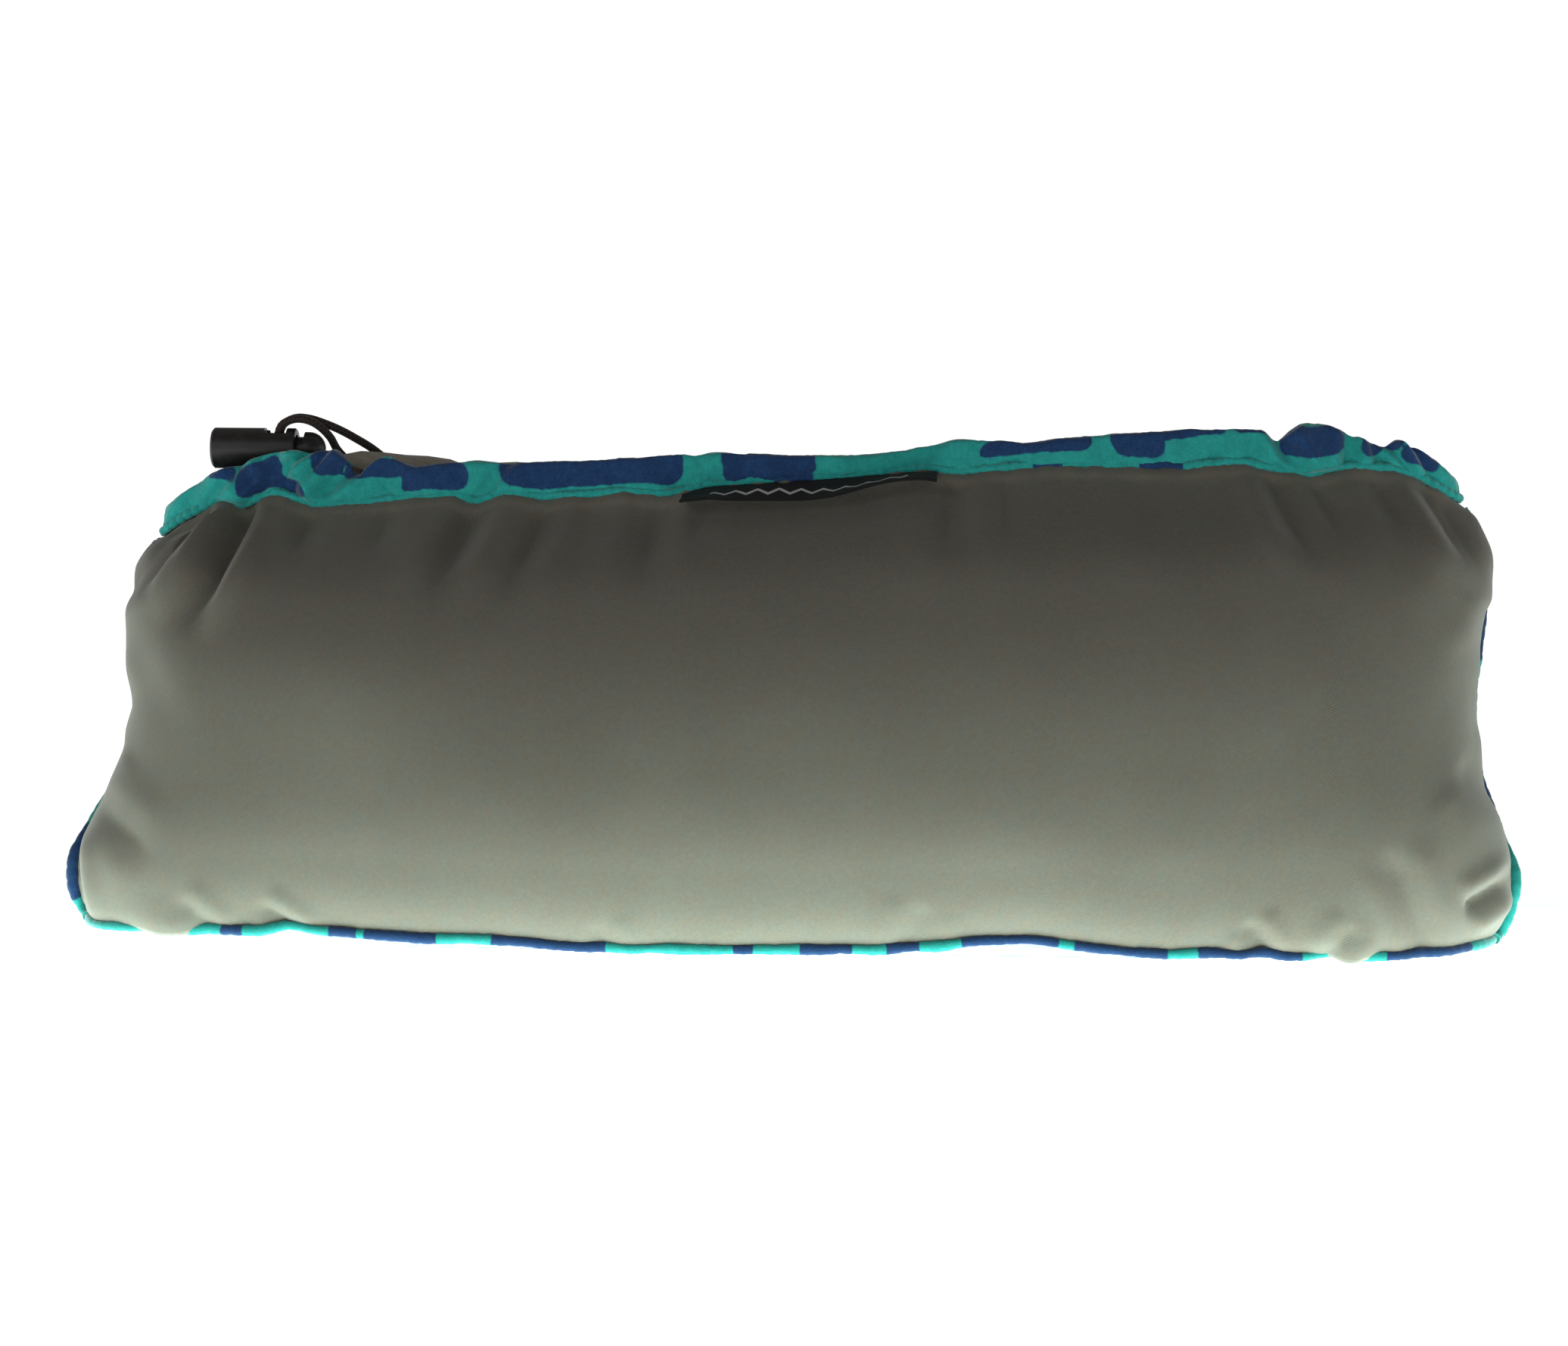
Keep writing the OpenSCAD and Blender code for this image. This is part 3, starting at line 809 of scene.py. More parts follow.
def blob_field(u, v, blobs, corner=6.0):
    """How far inside the nearest navy blob each point is, in millimetres; below zero is outside."""
    best = np.full(np.broadcast(u, v).shape, -1e3)
    for cx, cy, hx, hy in blobs:
        r = min(corner, hx, hy)
        dx, dy = np.abs(u - cx) - (hx - r), np.abs(v - cy) - (hy - r)
        outside = np.hypot(np.maximum(dx, 0), np.maximum(dy, 0)) + np.minimum(np.maximum(dx, dy), 0) - r
        best = np.maximum(best, -outside)
    return best


def printed(u, v):
    """The repeating print at a place on the flat cloth."""
    u = u + 5 * lattice_noise(u, v, 19, 5) + 1.6 * lattice_noise(u, v, 7, 6)
    v = v + 4 * lattice_noise(u, v, 17, 7) + 1.2 * lattice_noise(u, v, 6, 8)
    w, h = REPEAT
    u, v = np.mod(u, w), np.mod(v, h)
    shifts = [(i * w, j * h) for i in (-1, 0, 1) for j in (-1, 0, 1)]
    return blob_field(u, v, [(cx + du, cy + dv, a, b) for cx, cy, a, b in BLOBS for du, dv in shifts])


# Stretches of navy on the rolled seams, in millimetres: along the foot of the front, and up each end
FOOT_NAVY = [
    (-151, -145), (-121, -113), (-111, -91), (-76, -45), (-11, -5.5), (7, 21), (30, 39), (50, 76),
    (80, 105), (113, 141), (164, 188),
]
LEFT_NAVY = [(13, 33), (74, 100)]
RIGHT_NAVY = [(36, 62), (84, 112)]


def stretches(at, ranges):
    """How far inside the nearest range each value is; below zero is outside them all."""
    return np.max([np.minimum(at - low, high - at) for low, high in ranges], axis=0)


# ---------------------------------------------------------------- panels


def cloth_coords(grid):
    """Distance along the cloth across and up, in millimetres, for the weave."""
    across = np.linalg.norm(np.diff(grid, axis=0), axis=2)
    up = np.linalg.norm(np.diff(grid, axis=1), axis=2)
    u = np.concatenate([np.zeros((1, grid.shape[1])), np.cumsum(across, axis=0)])
    v = np.concatenate([np.zeros((grid.shape[0], 1)), np.cumsum(up, axis=1)], axis=1)
    u = u - u[u.shape[0] // 2]
    return np.stack([u, v], axis=-1)


def valley(x, z, start, end, depth, width, bend=0.0):
    """A fold from one point to another: a sharp valley with a soft roll on each side."""
    a, b = np.array(start, float), np.array(end, float)
    along = b - a
    length = np.hypot(*along)
    along /= length
    s = (x - a[0]) * along[0] + (z - a[1]) * along[1]
    d = -(x - a[0]) * along[1] + (z - a[1]) * along[0]
    d = d - bend * np.sin(np.pi * np.clip(s / length, 0, 1))
    ends = smooth_step(s, -0.12 * length, 0.18 * length) * (1 - smooth_step(s, 0.55 * length, 1.1 * length))
    roll = 0.55 * bell(np.abs(d), 1.9 * width, 1.1 * width)
    return ends * depth * (roll - np.exp(-np.abs(d / width) ** 1.3))


# Folds of the front panel: from (x, z), to (x, z), depth, width, bend, all in millimetres
FRONT_FOLDS = [
    (-149, 128, -161, 92, 6.0, 3.6, 1.5), (-157, 128, -177, 100, 3.6, 3.4, -2.0),
    (-166, 126, -186, 96, 2.0, 4.0, 0), (-131, 126, -133, 110, 1.6, 3.6, 0),
    (-141, 128, -144, 110, 1.2, 3.2, 0), (-109, 127, -111, 111, 1.1, 4.0, 0),
    (-85, 128, -93, 102, 2.0, 4.0, 1.0), (-65, 128, -74, 103, 2.0, 4.0, 1.0),
    (-34, 130, -37, 106, 1.3, 5.0, 0), (-21, 131, -24, 114, 0.9, 3.6, 0), (46, 135, 44, 112, 1.4, 4.6, 0),
    (60, 136, 62, 116, 0.9, 4.0, 0), (96, 137, 99, 116, 0.9, 4.4, 0),
    (132, 138, 144, 112, 2.2, 3.6, -1.0), (143, 136, 150, 118, 1.4, 3.2, 0),
    (160, 137, 168, 120, 1.5, 3.6, 0), (173, 135, 186, 112, 2.2, 3.6, 1.0),
    (180, 131, 192, 106, 1.6, 4.0, 0), (-140, 16, -125, 5, 1.8, 2.6, 0), (-163, 17, -149, 4, 1.5, 2.8, 0),
    (-200, 30, -196, 6, 2.2, 3.2, 0), (-190, 40, -170, 28, 1.4, 5.0, 1.5), (40, 20, 34, 4, 0.9, 4.0, 0),
    (-48, 14, -44, 3, 0.7, 3.4, 0), (126, 16, 134, 4, 2.0, 2.8, 0), (155, 15, 145, 4, 1.8, 3.0, 0),
    (164, 34, 176, 4, 1.6, 4.0, 1.0), (186, 19, 202, 26, 3.4, 3.0, 0), (184, 58, 200, 44, 1.6, 5.0, 0),
    (196, 100, 190, 84, 1.6, 4.4, 0), (-196, 76, -180, 66, 1.8, 5.0, 0),
    (-186, 60, -196, 46, 1.4, 4.0, 0),
]


def soft_wear(x, z, seed):
    """Broad, low undulations of stuffed cloth."""
    return (
        1.0 * lattice_noise(x, 1.4 * z, 62, seed)
        + 0.28 * lattice_noise(x, z, 27, seed + 1)
        + 0.06 * lattice_noise(x, z, 10, seed + 2)
    )


def pucker(x, distance, seed, depth=0.5):
    """Small gathers that a seam draws up beside it."""
    wave = lattice_noise(x, 0 * x, 3.4, seed) + 0.6 * lattice_noise(x, 0 * x, 7.5, seed + 1)
    return depth * wave * np.exp(-np.maximum(distance, 0) / 5.0)


def panel_grid(columns, rows):
    """Part of the form as a finer grid: columns along the first axis, rows up the second."""
    grid = np.swapaxes(form[rows][:, columns], 0, 1)
    return refine(refine(grid, 4, 0), 3, 1)


def from_ends(grid):
    """How many columns each column is from the nearer end of the panel."""
    count = np.arange(len(grid), dtype=float)
    return np.minimum(count, count[::-1])[:, None]


HALF = COLUMNS // 2
LEFT_TO_RIGHT = (HALF + np.arange(HALF + 1)) % COLUMNS      # across the front
RIGHT_TO_LEFT = np.arange(HALF + 1)                         # across the back

# The sewn lower edge and the top of the gathered channel along the front: (x, z) in millimetres
HEM_FOOT = [
    (-190, 113), (-176, 114), (-170, 119), (-163, 123), (-158, 126), (-151, 123.8), (-142, 128),
    (-131, 124.6), (-121, 124.8), (-102, 126.8), (-91, 127.8), (-85, 125.6), (-76, 128), (-64, 127),
    (-42, 129), (-33, 128), (-20, 131), (8, 133), (39, 135.8), (48, 135), (60, 136.4), (76, 137.4),
    (95, 137.2), (109, 136.8), (125, 138.6), (136, 136.4), (142, 135.2), (154, 137.6), (165, 137),
    (173, 135), (177, 132.8), (184, 128), (196, 122),
]
HEM_TOP = [
    (-190, 121), (-176, 122.5), (-170, 127), (-163, 131.8), (-156, 134.8), (-145, 138.4), (-134, 139.9),
    (-125, 140.4), (-119, 134.6), (-111, 138.8), (-102, 135.8), (-88, 137.2), (-73, 137), (-53, 137.8),
    (-39, 138.6), (-18, 140.2), (1, 139.4), (16, 139.5), (33, 141), (46, 144.4), (65, 143.6), (82, 145.6),
    (96, 146.4), (111, 147.5), (131, 148), (135, 145.4), (142, 149.4), (148, 149.2), (154, 146.8),
    (160, 145), (163, 143.2), (167, 145.6), (174, 142.6), (179, 139), (184, 134), (196, 128),
]


def behind(x, side):
    """1 along the back of the mouth, falling to 0 at its ends, where front and back meet."""
    return (side > 0) * smooth_step(x, -172, -150) * (1 - smooth_step(x, 162, 184))


def hem_foot(x, side):
    return curve_through(HEM_FOOT, x) - 4.0 * behind(x, side)


def hem_top(x, side):
    return curve_through(HEM_TOP, x) - 5.5 * behind(x, side)


def drawn_to_hem(grid, side):
    """Brings the top of a panel to the sewn line under the channel."""
    x, y, z = np.moveaxis(grid, -1, 0)
    wanted = hem_foot(x[:, -1:], side) + 0.4
    blend_in = smooth_step(z, 78, z[:, -1:])
    out = grid.copy()
    out[..., 2] = z + (wanted - z[:, -1:]) * blend_in
    return out


def overhang(x):
    """1 where the front panel's foot hides the rolled seam."""
    return bell(x, -168, 12) ** 2 + bell(x, 153, 9) ** 2


def folded(x, z, side, top, folds, mirror=1):
    """A panel's folds, which fade at its ends and under the channel."""
    move = 0
    for x0, z0, x1, z1, depth, width, bend in folds:
        move = move + valley(x, z, (mirror * x0, z0), (mirror * x1, z1), depth, width, bend)
    return move * smooth_step(side, 0, 10) * smooth_step(top - z, -2, 5)


def make_front():
    grid = drawn_to_hem(panel_grid(LEFT_TO_RIGHT, np.arange(SEAM_ROW, len(HEIGHTS))), -1)
    x, y, z = np.moveaxis(grid, -1, 0)
    top, side = z[:, -1:], from_ends(grid)
    calm = smooth_step(z, SEAM_Z, SEAM_Z + 6) * smooth_step(top - z, 0, 9) * smooth_step(side, 0, 26)
    move = soft_wear(x, z, 21) * calm + folded(x, z, side, top, FRONT_FOLDS)
    move = move + pucker(x, z - SEAM_Z, 31, 0.5) + pucker(x, top - z, 41, 0.45) + pucker(z, side, 51, 0.5)
    over = overhang(x) * (1 - smooth_step(z, 8, 20))
    grid = grid + grid_normals(grid) * move[..., None] + over[..., None] * (0, -1.6, -2.0)
    points, faces = shell_points(grid, CLOTH_T)
    return grid, make_piece("front_panel_cloth", points, faces, TWILL, both_sides(cloth_coords(grid)))


def make_back():
    """The printed back with the base: a wall behind, a lip under the front seam and a flat bottom."""
    wall = drawn_to_hem(panel_grid(RIGHT_TO_LEFT, np.arange(len(HEIGHTS))), 1)
    x, y, z = np.moveaxis(wall, -1, 0)
    top, side = z[:, -1:], from_ends(wall)
    calm = smooth_step(z, 3, 14) * smooth_step(top - z, 0, 9) * smooth_step(side, 0, 26)
    move = soft_wear(x + 300, z, 61) * calm * 1.2 + pucker(x, top - z, 65, 0.45) + pucker(z, side, 67, 0.5)
    move = move + 0.8 * folded(x, z, side, top, FRONT_FOLDS[:16], -1)
    wall = wall + grid_normals(wall) * (move * smooth_step(z, 1, 12))[..., None]
    lip = panel_grid(LEFT_TO_RIGHT, np.arange(SEAM_ROW + 1))
    ring = refine(form[0], 4, 0, closed=True)
    steps = np.linspace(0, 0.96, 14)
    base = np.stack([ring * (1 - k, 1 - k, 1) for k in steps], axis=1)
    x, y, z = np.moveaxis(base, -1, 0)
    base[..., 2] = 0.5 * np.abs(lattice_noise(x, y, 24, 71)) * smooth_step(steps[None, :], 0.02, 0.2)
    base = np.concatenate([base, base[:1]])[:, ::-1]
    points, faces, uv, field = [], [], [], []
    start = 0
    for grid in (wall, lip, base):
        p, f = shell_points(grid, CLOTH_T)
        at = both_sides(base[..., :2] if grid is base else cloth_coords(grid))
        points.append(p)
        faces += [[k + start for k in face] for face in f]
        uv.append(at)
        if grid is lip:
            field.append(stretches(p[:, 0], FOOT_NAVY))
        else:
            field.append(printed(*(at.T + (90 if grid is base else 0))))
        start += len(p)
    points, uv, field = np.concatenate(points), np.concatenate(uv), np.concatenate(field)
    return make_piece("back_panel_cloth", points, faces, PRINT, uv, field)


front_grid, front_piece = make_front()
back_piece = make_back()

# ---------------------------------------------------------------- rolled seams


def rolled_seam(name, line, seed, navy_axis, navy_ranges, swell):
    """The bound edge where two cloths meet: a soft roll of print, pinched where it is stitched.

    It is navy where the given coordinate of its path is in one of the ranges, and it swells at the
    lower corners."""
    path = resample(line, 0.9)
    reach = 4
    padded = np.pad(path, ((reach, reach), (0, 0)), mode="edge")
    path = sum(padded[k:k + len(path)] for k in range(2 * reach + 1)) / (2 * reach + 1)
    s = np.linspace(0, path_length(path), len(path))[:, None]
    sides = 14
    lumps = 1 + 0.16 * lattice_noise(s, 0 * s, 7, seed)
    lumps = lumps + 0.08 * lattice_noise(s, 2 * around(sides), 2.6, seed + 1)
    stitch = 1 - 0.10 * bell(np.mod(s, 3.4), 1.7, 0.5)
    corner = 1 + swell * bell(path[:, 2:], 15, 11)
    navy = np.broadcast_to(stretches(path[:, navy_axis], navy_ranges)[:, None], (len(path), sides))
    # The roll's print is the darkened copy of the print: painted shade.
    return tube_piece(name, path, SEAM_R * lumps * stitch * corner, sides, SHADED_ROLL_PRINT, SEAM_R, navy)


def end_line(foot, edge, side):
    """The line of a seam up one end: just outside the cloth, further out at the lower corner."""
    line = edge.copy()
    line[:, 0] += side * (-0.5 + 1.8 * (1 - smooth_step(edge[:, 2], 24, 36)))
    return np.concatenate([foot + (side * 0.6, -0.5, -0.5), line])


foot = front_grid[10:-10, 0]
foot = foot + (0, -0.5, -0.6) + overhang(foot[:, :1]) * (0, 4.0, 2.6)
left_line = end_line(front_grid[12:0:-1, 0], front_grid[0, :-1], -1)
right_line = end_line(front_grid[-13:-1, 0], front_grid[-1, :-1], 1)
bottom_seam = rolled_seam("bottom_seam_roll", foot, 1, 0, FOOT_NAVY, 0)
left_seam = rolled_seam("left_seam_roll", left_line, 2, 2, LEFT_NAVY, 0.25)
right_seam = rolled_seam("right_seam_roll", right_line, 3, 2, RIGHT_NAVY, 0.25)


# ---------------------------------------------------------------- gathered channel round the mouth

# Navy blobs along the front of the channel: middle x, height above the seam, half length, half height
HEM_BLOBS = [
    (-157, 8, 3.4, 2.6), (-147, 6.4, 6.4, 4.6), (-139, 3.6, 5.4, 2.0), (-125.5, 12, 6.6, 3.6),
    (-113, 9.6, 11, 2.6), (-97, 5.8, 9.2, 4.0), (-53, 7.4, 25.4, 4.4), (-4.5, 6.8, 13.3, 6.2),
    (69, 5.8, 15.5, 2.2), (97, 6.6, 7.2, 3.4), (108, 9.8, 13, 2.0), (128, 10.4, 5.6, 1.6),
    (144, 8.4, 9.0, 4.4), (160.5, 6.4, 3.2, 2.8), (166, 8.6, 3.4, 3.2), (174, 5.6, 5.0, 2.6),
]
RIDGE_NAVY = [(68, 76), (97, 109), (-3, 8)]

# Creases of the channel: x at the seam, x at the top, depth, width, in millimetres
HEM_CREASES = [
    (-170, -164, 2.0, 2.2), (-160, -152, 2.4, 2.0), (-149, -133, 4.4, 2.2), (-141, -127, 2.2, 1.8),
    (-130, -119, 4.6, 2.4), (-112, -107, 1.4, 2.6), (-101, -103, 1.0, 2.6), (-84, -77, 2.4, 2.4),
    (-60, -57, 0.8, 3.0), (-30, -24, 1.2, 2.8), (-20, -12, 1.2, 2.6), (34, 42, 1.2, 3.0),
    (62, 66, 0.8, 3.0), (88, 86, 1.0, 3.0), (118, 120, 1.2, 2.6), (127, 129, 1.6, 2.2),
    (141, 134, 4.4, 2.4), (154, 155, 3.2, 2.0), (163, 160, 2.2, 1.8), (172, 165, 3.4, 2.0),
    (178, 171, 3.0, 1.8),
]


def hem_line(side):
    """One half of the channel's middle line, and the level direction out of it at each of its points."""
    angles = np.radians(np.linspace(180.1, 359.9, 1400) + (0 if side < 0 else 180))
    path = resample(widened(channel_line(angles)), 0.45)
    along = np.gradient(path, axis=0) * (1, 1, 0)
    along /= np.linalg.norm(along, axis=1, keepdims=True)
    return path, np.stack([along[:, 1], -along[:, 0], 0 * along[:, 0]], axis=1)


def make_hem(name, side, seed):
    """One half of the channel: a flattened tube of brushed cloth that its cord draws into folds."""
    path, out = hem_line(side)
    x = path[:, 0]
    foot, top = hem_foot(x, side), hem_top(x, side)
    sides = 40
    phi = around(sides)
    c, s = np.cos(phi), np.sin(phi)
    half_h = ((top - foot) / 2)[:, None]
    ends = np.maximum(bell(x, -142, 26), bell(x, 160, 24))[:, None]
    facing = smooth_step(c, -0.3, 0.6) * (1 - 0.7 * smooth_step(np.abs(x - 6), 160, 172))[:, None]
    run = np.linspace(0, path_length(path), len(path))[:, None]
    # How far each point stands out of the middle line, and how far above it
    width = 2.5 + 0.5 * lattice_noise(x, 0 * x, 23, seed)[:, None]
    proud = np.sign(c) * np.abs(c) ** 0.8 * width + facing * (0.7 + 1.1 * ends)
    up = np.sign(s) * np.abs(s) ** 0.85 * half_h
    slant = run + 0.55 * up
    fold = lattice_noise(slant, 0.12 * up, 6.5, seed + 1)
    fine = lattice_noise(slant, 0.25 * up, 3.1, seed + 2)
    broad = lattice_noise(run, 0.5 * up, 17, seed + 3)
    fuzz = lattice_noise(run, up + 30 * c, 0.9, seed + 4)
    proud = proud + facing * ((0.8 + 2.6 * ends) * fold + (0.25 + 0.7 * ends) * fine + 0.8 * broad)
    proud = proud + 0.10 * fuzz
    share = 0.5 + up / (2 * half_h)
    for at_foot, at_top, depth, wide in HEM_CREASES:
        off = (-side * x[:, None] - at_foot - (at_top - at_foot) * share) / wide
        crease = -bell(off, 0, 1.1) + 0.45 * bell(np.abs(off), 2.0, 1.0)
        proud = proud + facing * depth * crease * 0.8 * smooth_step(share, -0.1, 0.35)
        up = up - 0.28 * depth * bell(off, 0, 1) * smooth_step(s, 0.3, 1)
    proud = np.where(c > 0, np.maximum(proud, 1.1 * np.abs(c) ** 0.8), proud)
    above = up + half_h
    up = up + (0.2 + 0.5 * ends) * lattice_noise(run, 0 * run, 5, seed + 5) * smooth_step(s, 0.2, 1)
    up = up + 0.10 * lattice_noise(run, 3 * phi, 1.0, seed + 6)
    proud = proud + 1.0 * smooth_step(-s, -0.4, 1) * facing
    middle = np.stack([path[:, 0], path[:, 1], (top + foot) / 2], axis=1)
    rings = middle[:, None] + out[:, None] * proud[..., None]
    rings[..., 2] += up
    if side < 0:
        blob_x = rings[..., 0] + 1.2 * lattice_noise(run, above, 9, seed + 7)
        blob_up = above + 0.9 * lattice_noise(run, above, 8, seed + 8)
        outer_print = blob_field(blob_x, blob_up, HEM_BLOBS, 3.2)
    else:
        outer_print = printed(run + 55, above + 60)
    navy = np.where(c > -0.2, outer_print, printed(run + 11, above + 20))
    uv = np.stack(np.broadcast_arrays(run, phi * 5), axis=-1)
    return make_piece(name, rings, tube_faces(len(path), sides, flip=True), PRINT, uv, navy)


front_hem = make_hem("front_casing_hem", -1, 101)
back_hem = make_hem("back_casing_hem", 1, 131)


def make_ridge():
    """The raised row of stitching that closes the channel, sunk between its stitches."""
    halves = []
    for side in (-1, 1):
        path, out = hem_line(side)
        x = path[:, 0]
        line = path + out * 2.7
        line[:, 2] = hem_foot(x, side) + 0.5 + 0.25 * lattice_noise(x, 0 * x, 4.5, 91)
        halves.append(line)
    path = resample(np.concatenate(halves + [halves[0][:1]]), 0.45)
    s = np.linspace(0, path_length(path), len(path))[:, None]
    sides = 14
    stitch = 1 - 0.22 * bell(np.mod(s, 2.8), 1.4, 0.35)
    lumps = 1 + 0.13 * lattice_noise(s, 3 * around(sides), 1.6, 92) + 0.12 * lattice_noise(s, 0 * s, 6, 93)
    navy = stretches(path[:, 0], RIDGE_NAVY) - np.maximum(0, path[:, 1])
    field = np.broadcast_to(navy[:, None], (len(path), sides))
    return tube_piece("casing_stitching_ridge", path, 1.2 * lumps * stitch, sides, PRINT, 1.0, field)


ridge = make_ridge()

# ---------------------------------------------------------------- pillow and foam inside

# How high the folded pillow stands in the mouth, along it: (x, z) in millimetres
PILLOW_TOP = [
    (-200, 122), (-150, 125), (-138, 127), (-128, 138.4), (-118, 140.2), (-110, 138.6), (-104, 138.6),
    (-95, 137.6), (-89, 134.6), (-82, 136.8), (-72, 137), (-64, 132), (0, 130), (90, 132), (150, 132),
    (200, 126),
]


def inside_form(inset, top, lump, seed, columns=4):
    """A closed lumpy form that fills the pocket up to a surface, a little inside its cloth."""
    wall = form[HEIGHTS < 108][:, ::columns]
    x, y, z = np.moveaxis(wall, -1, 0)
    bulge = lump * np.abs(lattice_noise(x + y, z, 16, seed))
    shrink = (inset + bulge + 5.0 * smooth_step(z, 80, 112))[..., None]
    outward = wall[0] * (1, 1, 0)
    outward /= np.linalg.norm(outward, axis=-1, keepdims=True)
    wall = wall - grid_normals(np.swapaxes(wall, 0, 1), closed=True).swapaxes(0, 1) * shrink
    wall[0] -= outward * inset
    wall[..., 2] = np.maximum(wall[..., 2], inset)
    bottom = [wall[0] * (1 - k, 1 - k, 1) for k in np.linspace(0.95, 0.1, 6)]
    edge = wall[-1]
    cover = []
    for k in np.linspace(0.04, 0.995, 28):
        ring = edge * (1 - k, 1 - k, 1)
        height = top(ring[:, 0], ring[:, 1], seed)
        in_mouth = 1 - smooth_step(np.abs(ring[:, 1]), 12, 24)
        in_mouth = in_mouth * (1 - smooth_step(np.abs(ring[:, 0] - 6), 150, 172))
        ring[:, 2] = edge[:, 2] + (height - edge[:, 2]) * in_mouth
        cover.append(ring)
    return np.concatenate([np.array(bottom), wall, np.array(cover)])


def closed_form_piece(name, rows, mat):
    rings, sides = rows.shape[:2]
    rise = np.cumsum(np.linalg.norm(np.diff(rows, axis=0), axis=2), axis=0)
    run = np.concatenate([np.zeros((1, sides)), rise])
    uv = np.stack([rows[..., 0] + 0.4 * rows[..., 1], run], axis=-1)
    return make_piece(name, rows, tube_faces(rings, sides), mat, uv)


def pillow_surface(x, y, seed):
    crest = curve_through(PILLOW_TOP, x)
    swell = (crest - 128.6) * np.exp(-(((y + 3.5) / 6.5) ** 2))
    folds = 1.0 * lattice_noise(x, 3 * y, 26, seed) + 0.4 * lattice_noise(x + y, 4 * y, 9, seed + 1)
    groove = -1.6 * bell(y, 6 + 0.02 * x, 2.2) * (x > -60)
    return 128.6 + swell + (folds + groove) * smooth_step(x, -75, -50)


def foam_surface(x, y, seed):
    return 120 + 1.5 * lattice_noise(x, y, 12, seed)


# The pillow's cloth is the brightened twill: painted light.
pillow = closed_form_piece("folded_pillow_cloth", inside_form(3.2, pillow_surface, 0.8, 151, 2), PAINTED_LIGHT_COVER_TWILL)
foam = closed_form_piece("foam_crumb", inside_form(8.0, foam_surface, 2.4, 171), FOAM)

# ---------------------------------------------------------------- label

LABEL_X, LABEL_Y = 7.0, -24.4      # the middle of its sewn edge


def make_label():
    """The label: sewn in along its top edge, its free edge lifted in a lazy wave."""
    u = np.linspace(-LABEL_W / 2, LABEL_W / 2, 141)[:, None]
    v = np.linspace(0, LABEL_L, 27)[None, :]
    x = LABEL_X + u + 0 * v
    rise = hem_foot(x[:, :1], -1) - 0.1
    droop = np.radians(11 + 13 * bell(u, 4, 15) + 4 * bell(u, -20, 14) - 3 * bell(u, 26, 12))
    curl = 0.010 * v**2 * (0.6 + 0.7 * np.sin(u / 9.0))
    y = LABEL_Y + 1.6 - v * np.cos(droop)
    z = rise - v * np.sin(droop) + 0.5 * curl - 0.4 * bell(v, 6, 3) * np.sin(u / 7)
    points, faces = shell_points(np.stack([x, y, z], axis=-1), -LABEL_T)
    uv = np.stack(np.broadcast_arrays(u + LABEL_W / 2, LABEL_L - v), axis=-1)
    return make_piece("woven_label_cloth", points, [f[::-1] for f in faces], LABEL, both_sides(uv))


label = make_label()

# ---------------------------------------------------------------- cords, knot and buttonholes


def make_drawcord():
    """The cord inside the channel, from one buttonhole round to the other."""
    path = channel_line(np.linspace(math.radians(LEFT_EXIT), math.radians(RIGHT_EXIT - 360), 900))
    side = np.sign(path[:, 1])
    middle = (hem_foot(path[:, 0], side) + hem_top(path[:, 0], side)) / 2 + 1.0
    run = np.linspace(0, 1, len(path))
    inside = smooth_step(np.minimum(run, 1 - run), 0.0, 0.02)
    ends_z = np.where(run < 0.5, LEFT_EXIT_Z, RIGHT_EXIT_Z)
    path[:, 2] = ends_z + (middle - ends_z) * inside
    path[:, 1] *= 1 - 0.9 * inside / np.linalg.norm(path[:, :2], axis=1)      # clear of the creases
    return braided_piece("drawcord_braid", resample(path, 0.6), 12, 3, 0.93, 0.06)


def make_knot():
    """An overhand knot drawn up into a ball: a cord wound on itself."""
    t = np.linspace(0, 2 * np.pi, 241)[:-1]
    loop = [np.sin(t) + 2 * np.sin(2 * t), np.cos(t) - 2 * np.cos(2 * t), -1.1 * np.sin(3 * t)]
    loop = np.stack(loop, axis=1) * 0.95 + np.array(KNOT_AT)
    path = resample(np.concatenate([loop, loop[:1]]), 0.3)
    return braided_piece("cord_knot_braid", path, 16, 4, 0.96, 0.06)


def make_buttonhole(name, centre, across, up):
    """A worked buttonhole: a flat ring of close stitches round a slit."""
    points, faces = [], []
    stitches, sides = 26, 8
    for a in 2 * np.pi * np.arange(stitches) / stitches:
        middle = centre + across * (1.9 * math.cos(a)) + up * (1.5 * math.sin(a))
        way = across * math.cos(a) + up * math.sin(a)
        path = resample(np.array([middle - way * 0.55, middle, middle + way * 0.55]), 0.28)
        faces += tube_faces(len(path), sides, start=len(points) * len(path) * sides)
        points.append(tube_points(path, 0.24, sides).reshape(-1, 3))
    return make_piece(name, np.concatenate(points), faces, THREAD)


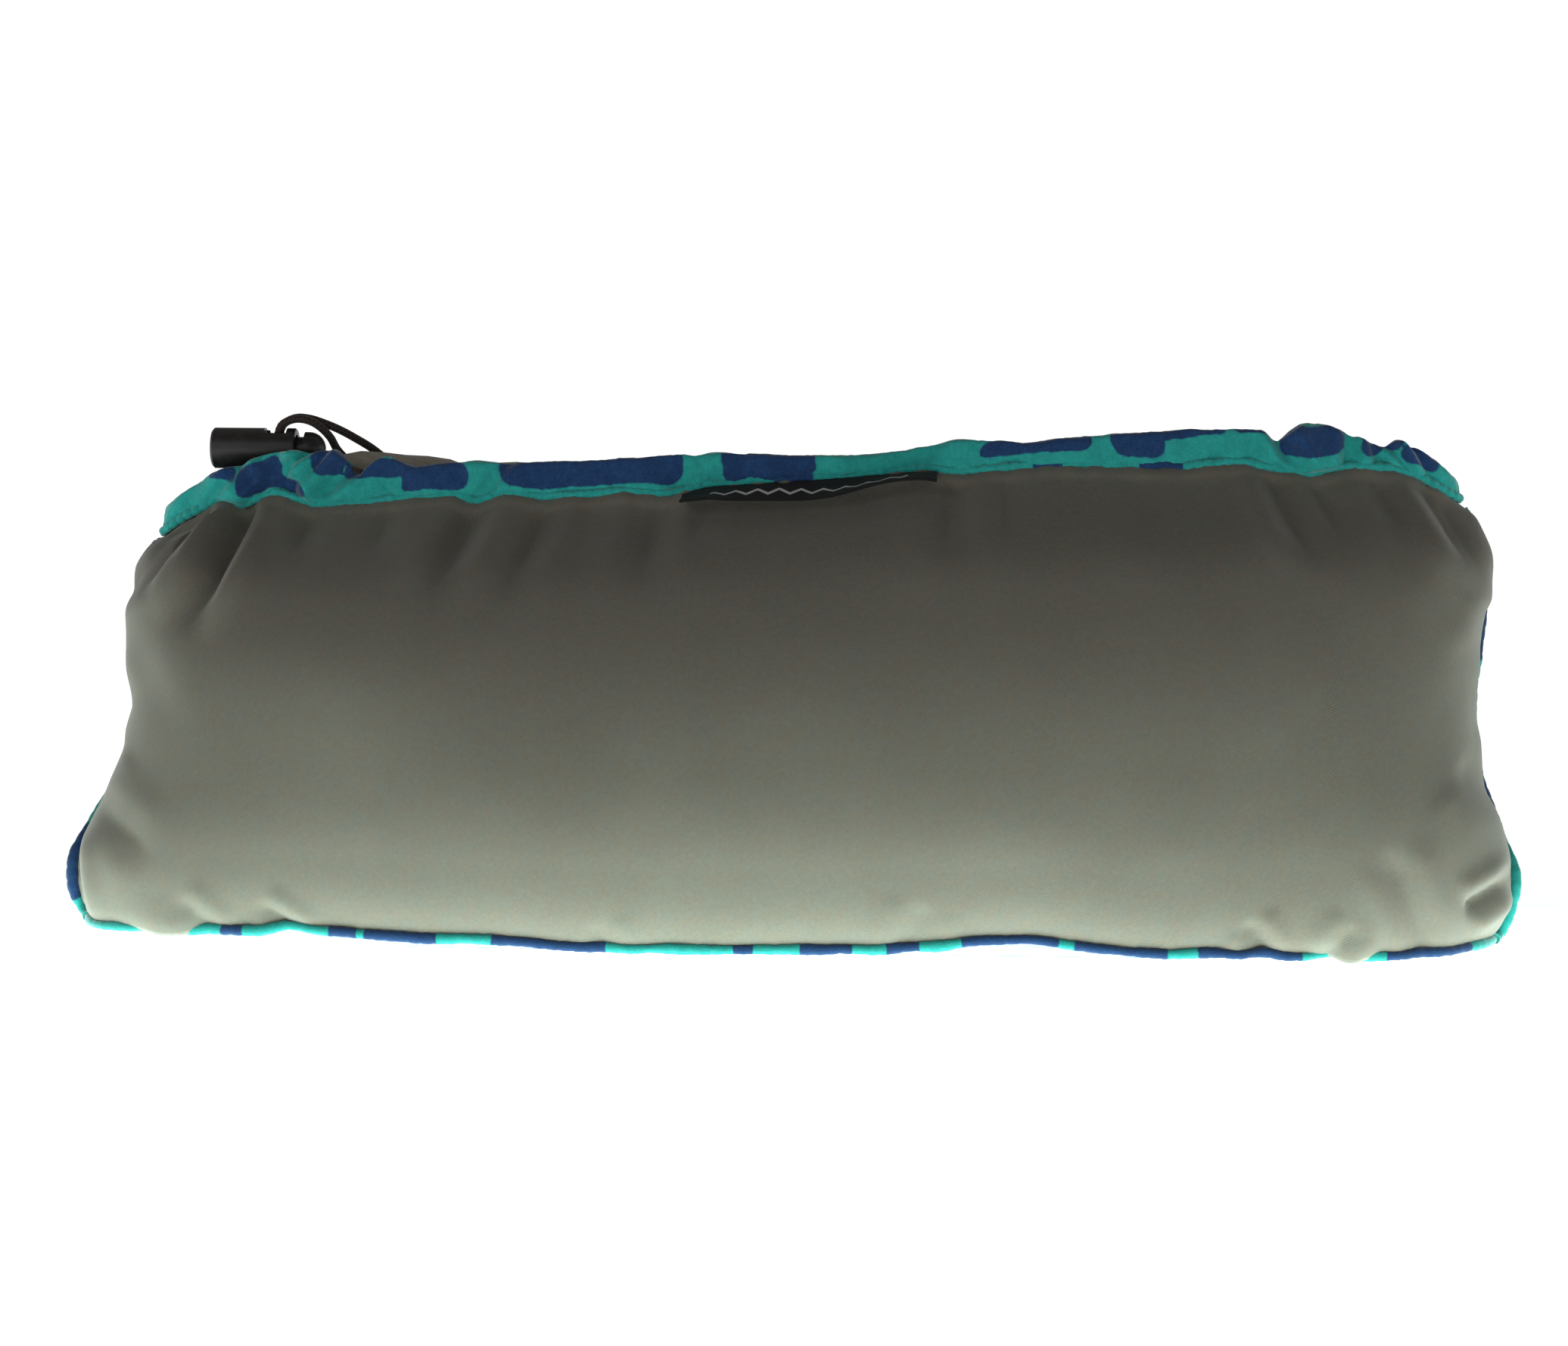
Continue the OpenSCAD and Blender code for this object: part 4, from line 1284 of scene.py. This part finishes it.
def make_spring():
    """The coil behind the plunger."""
    turns, radius = 6, 2.9
    a = np.linspace(0, 2 * np.pi * turns, 50 * turns)
    x = np.linspace(-160.6, -151.4, len(a))
    path = np.stack([x, radius * np.cos(a), LOCK_Z + radius * np.sin(a)], axis=1)
    return tube_piece("lock_spring_coil", path, 0.3, 10, STEEL)


left_strand, left_path = make_cord(
    "cord_strand_left_braid", LEFT_ROUTE, channel_point(LEFT_EXIT, LEFT_EXIT_Z)
)
right_strand, right_path = make_cord(
    "cord_strand_right_braid", RIGHT_ROUTE, channel_point(RIGHT_EXIT, RIGHT_EXIT_Z)
)
drawcord = make_drawcord()
knot = make_knot()
spring = make_spring()
holes = []
for hole_name, path in (("left_buttonhole_stitches", left_path), ("right_buttonhole_stitches", right_path)):
    k = int(4.2 / BRAID_STEP)       # the ring of the strand that is 4.2 mm from its start
    way = path[k + 1] - path[k]
    way /= np.linalg.norm(way)
    up = np.array([0, 0, 1.0]) - way * way[2]
    up /= np.linalg.norm(up)
    holes.append(make_buttonhole(hole_name, path[k], np.cross(way, up), up))

# ---------------------------------------------------------------- what stands for what, and what moves it


def stand_for(piece, node, body="pocket"):
    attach(piece, body)
    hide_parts(node)


stand_for(front_piece, "front_panel")
stand_for(back_piece, "back_panel")
stand_for(bottom_seam, "bottom_seam")
stand_for(left_seam, "left_seam")
stand_for(right_seam, "right_seam")
stand_for(front_hem, "front_casing")
stand_for(back_hem, "back_casing")
stand_for(ridge, "casing_stitching")
stand_for(label, "woven_label", "label")
stand_for(pillow, "folded_pillow_cover")
stand_for(foam, "foam_filling")
stand_for(drawcord, "drawcord")
stand_for(holes[0], "left_buttonhole")
stand_for(holes[1], "right_buttonhole")
stand_for(left_strand, "cord_strand_left")
stand_for(right_strand, "cord_strand_right")
stand_for(knot, "cord_knot")
stand_for(spring, "lock_spring")
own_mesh(spring)

for node, mat in (("lock_barrel", BARREL_PLASTIC), ("lock_plunger", PLUNGER_PLASTIC)):
    for material_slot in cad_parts[node].material_slots:
        material_slot.material = mat
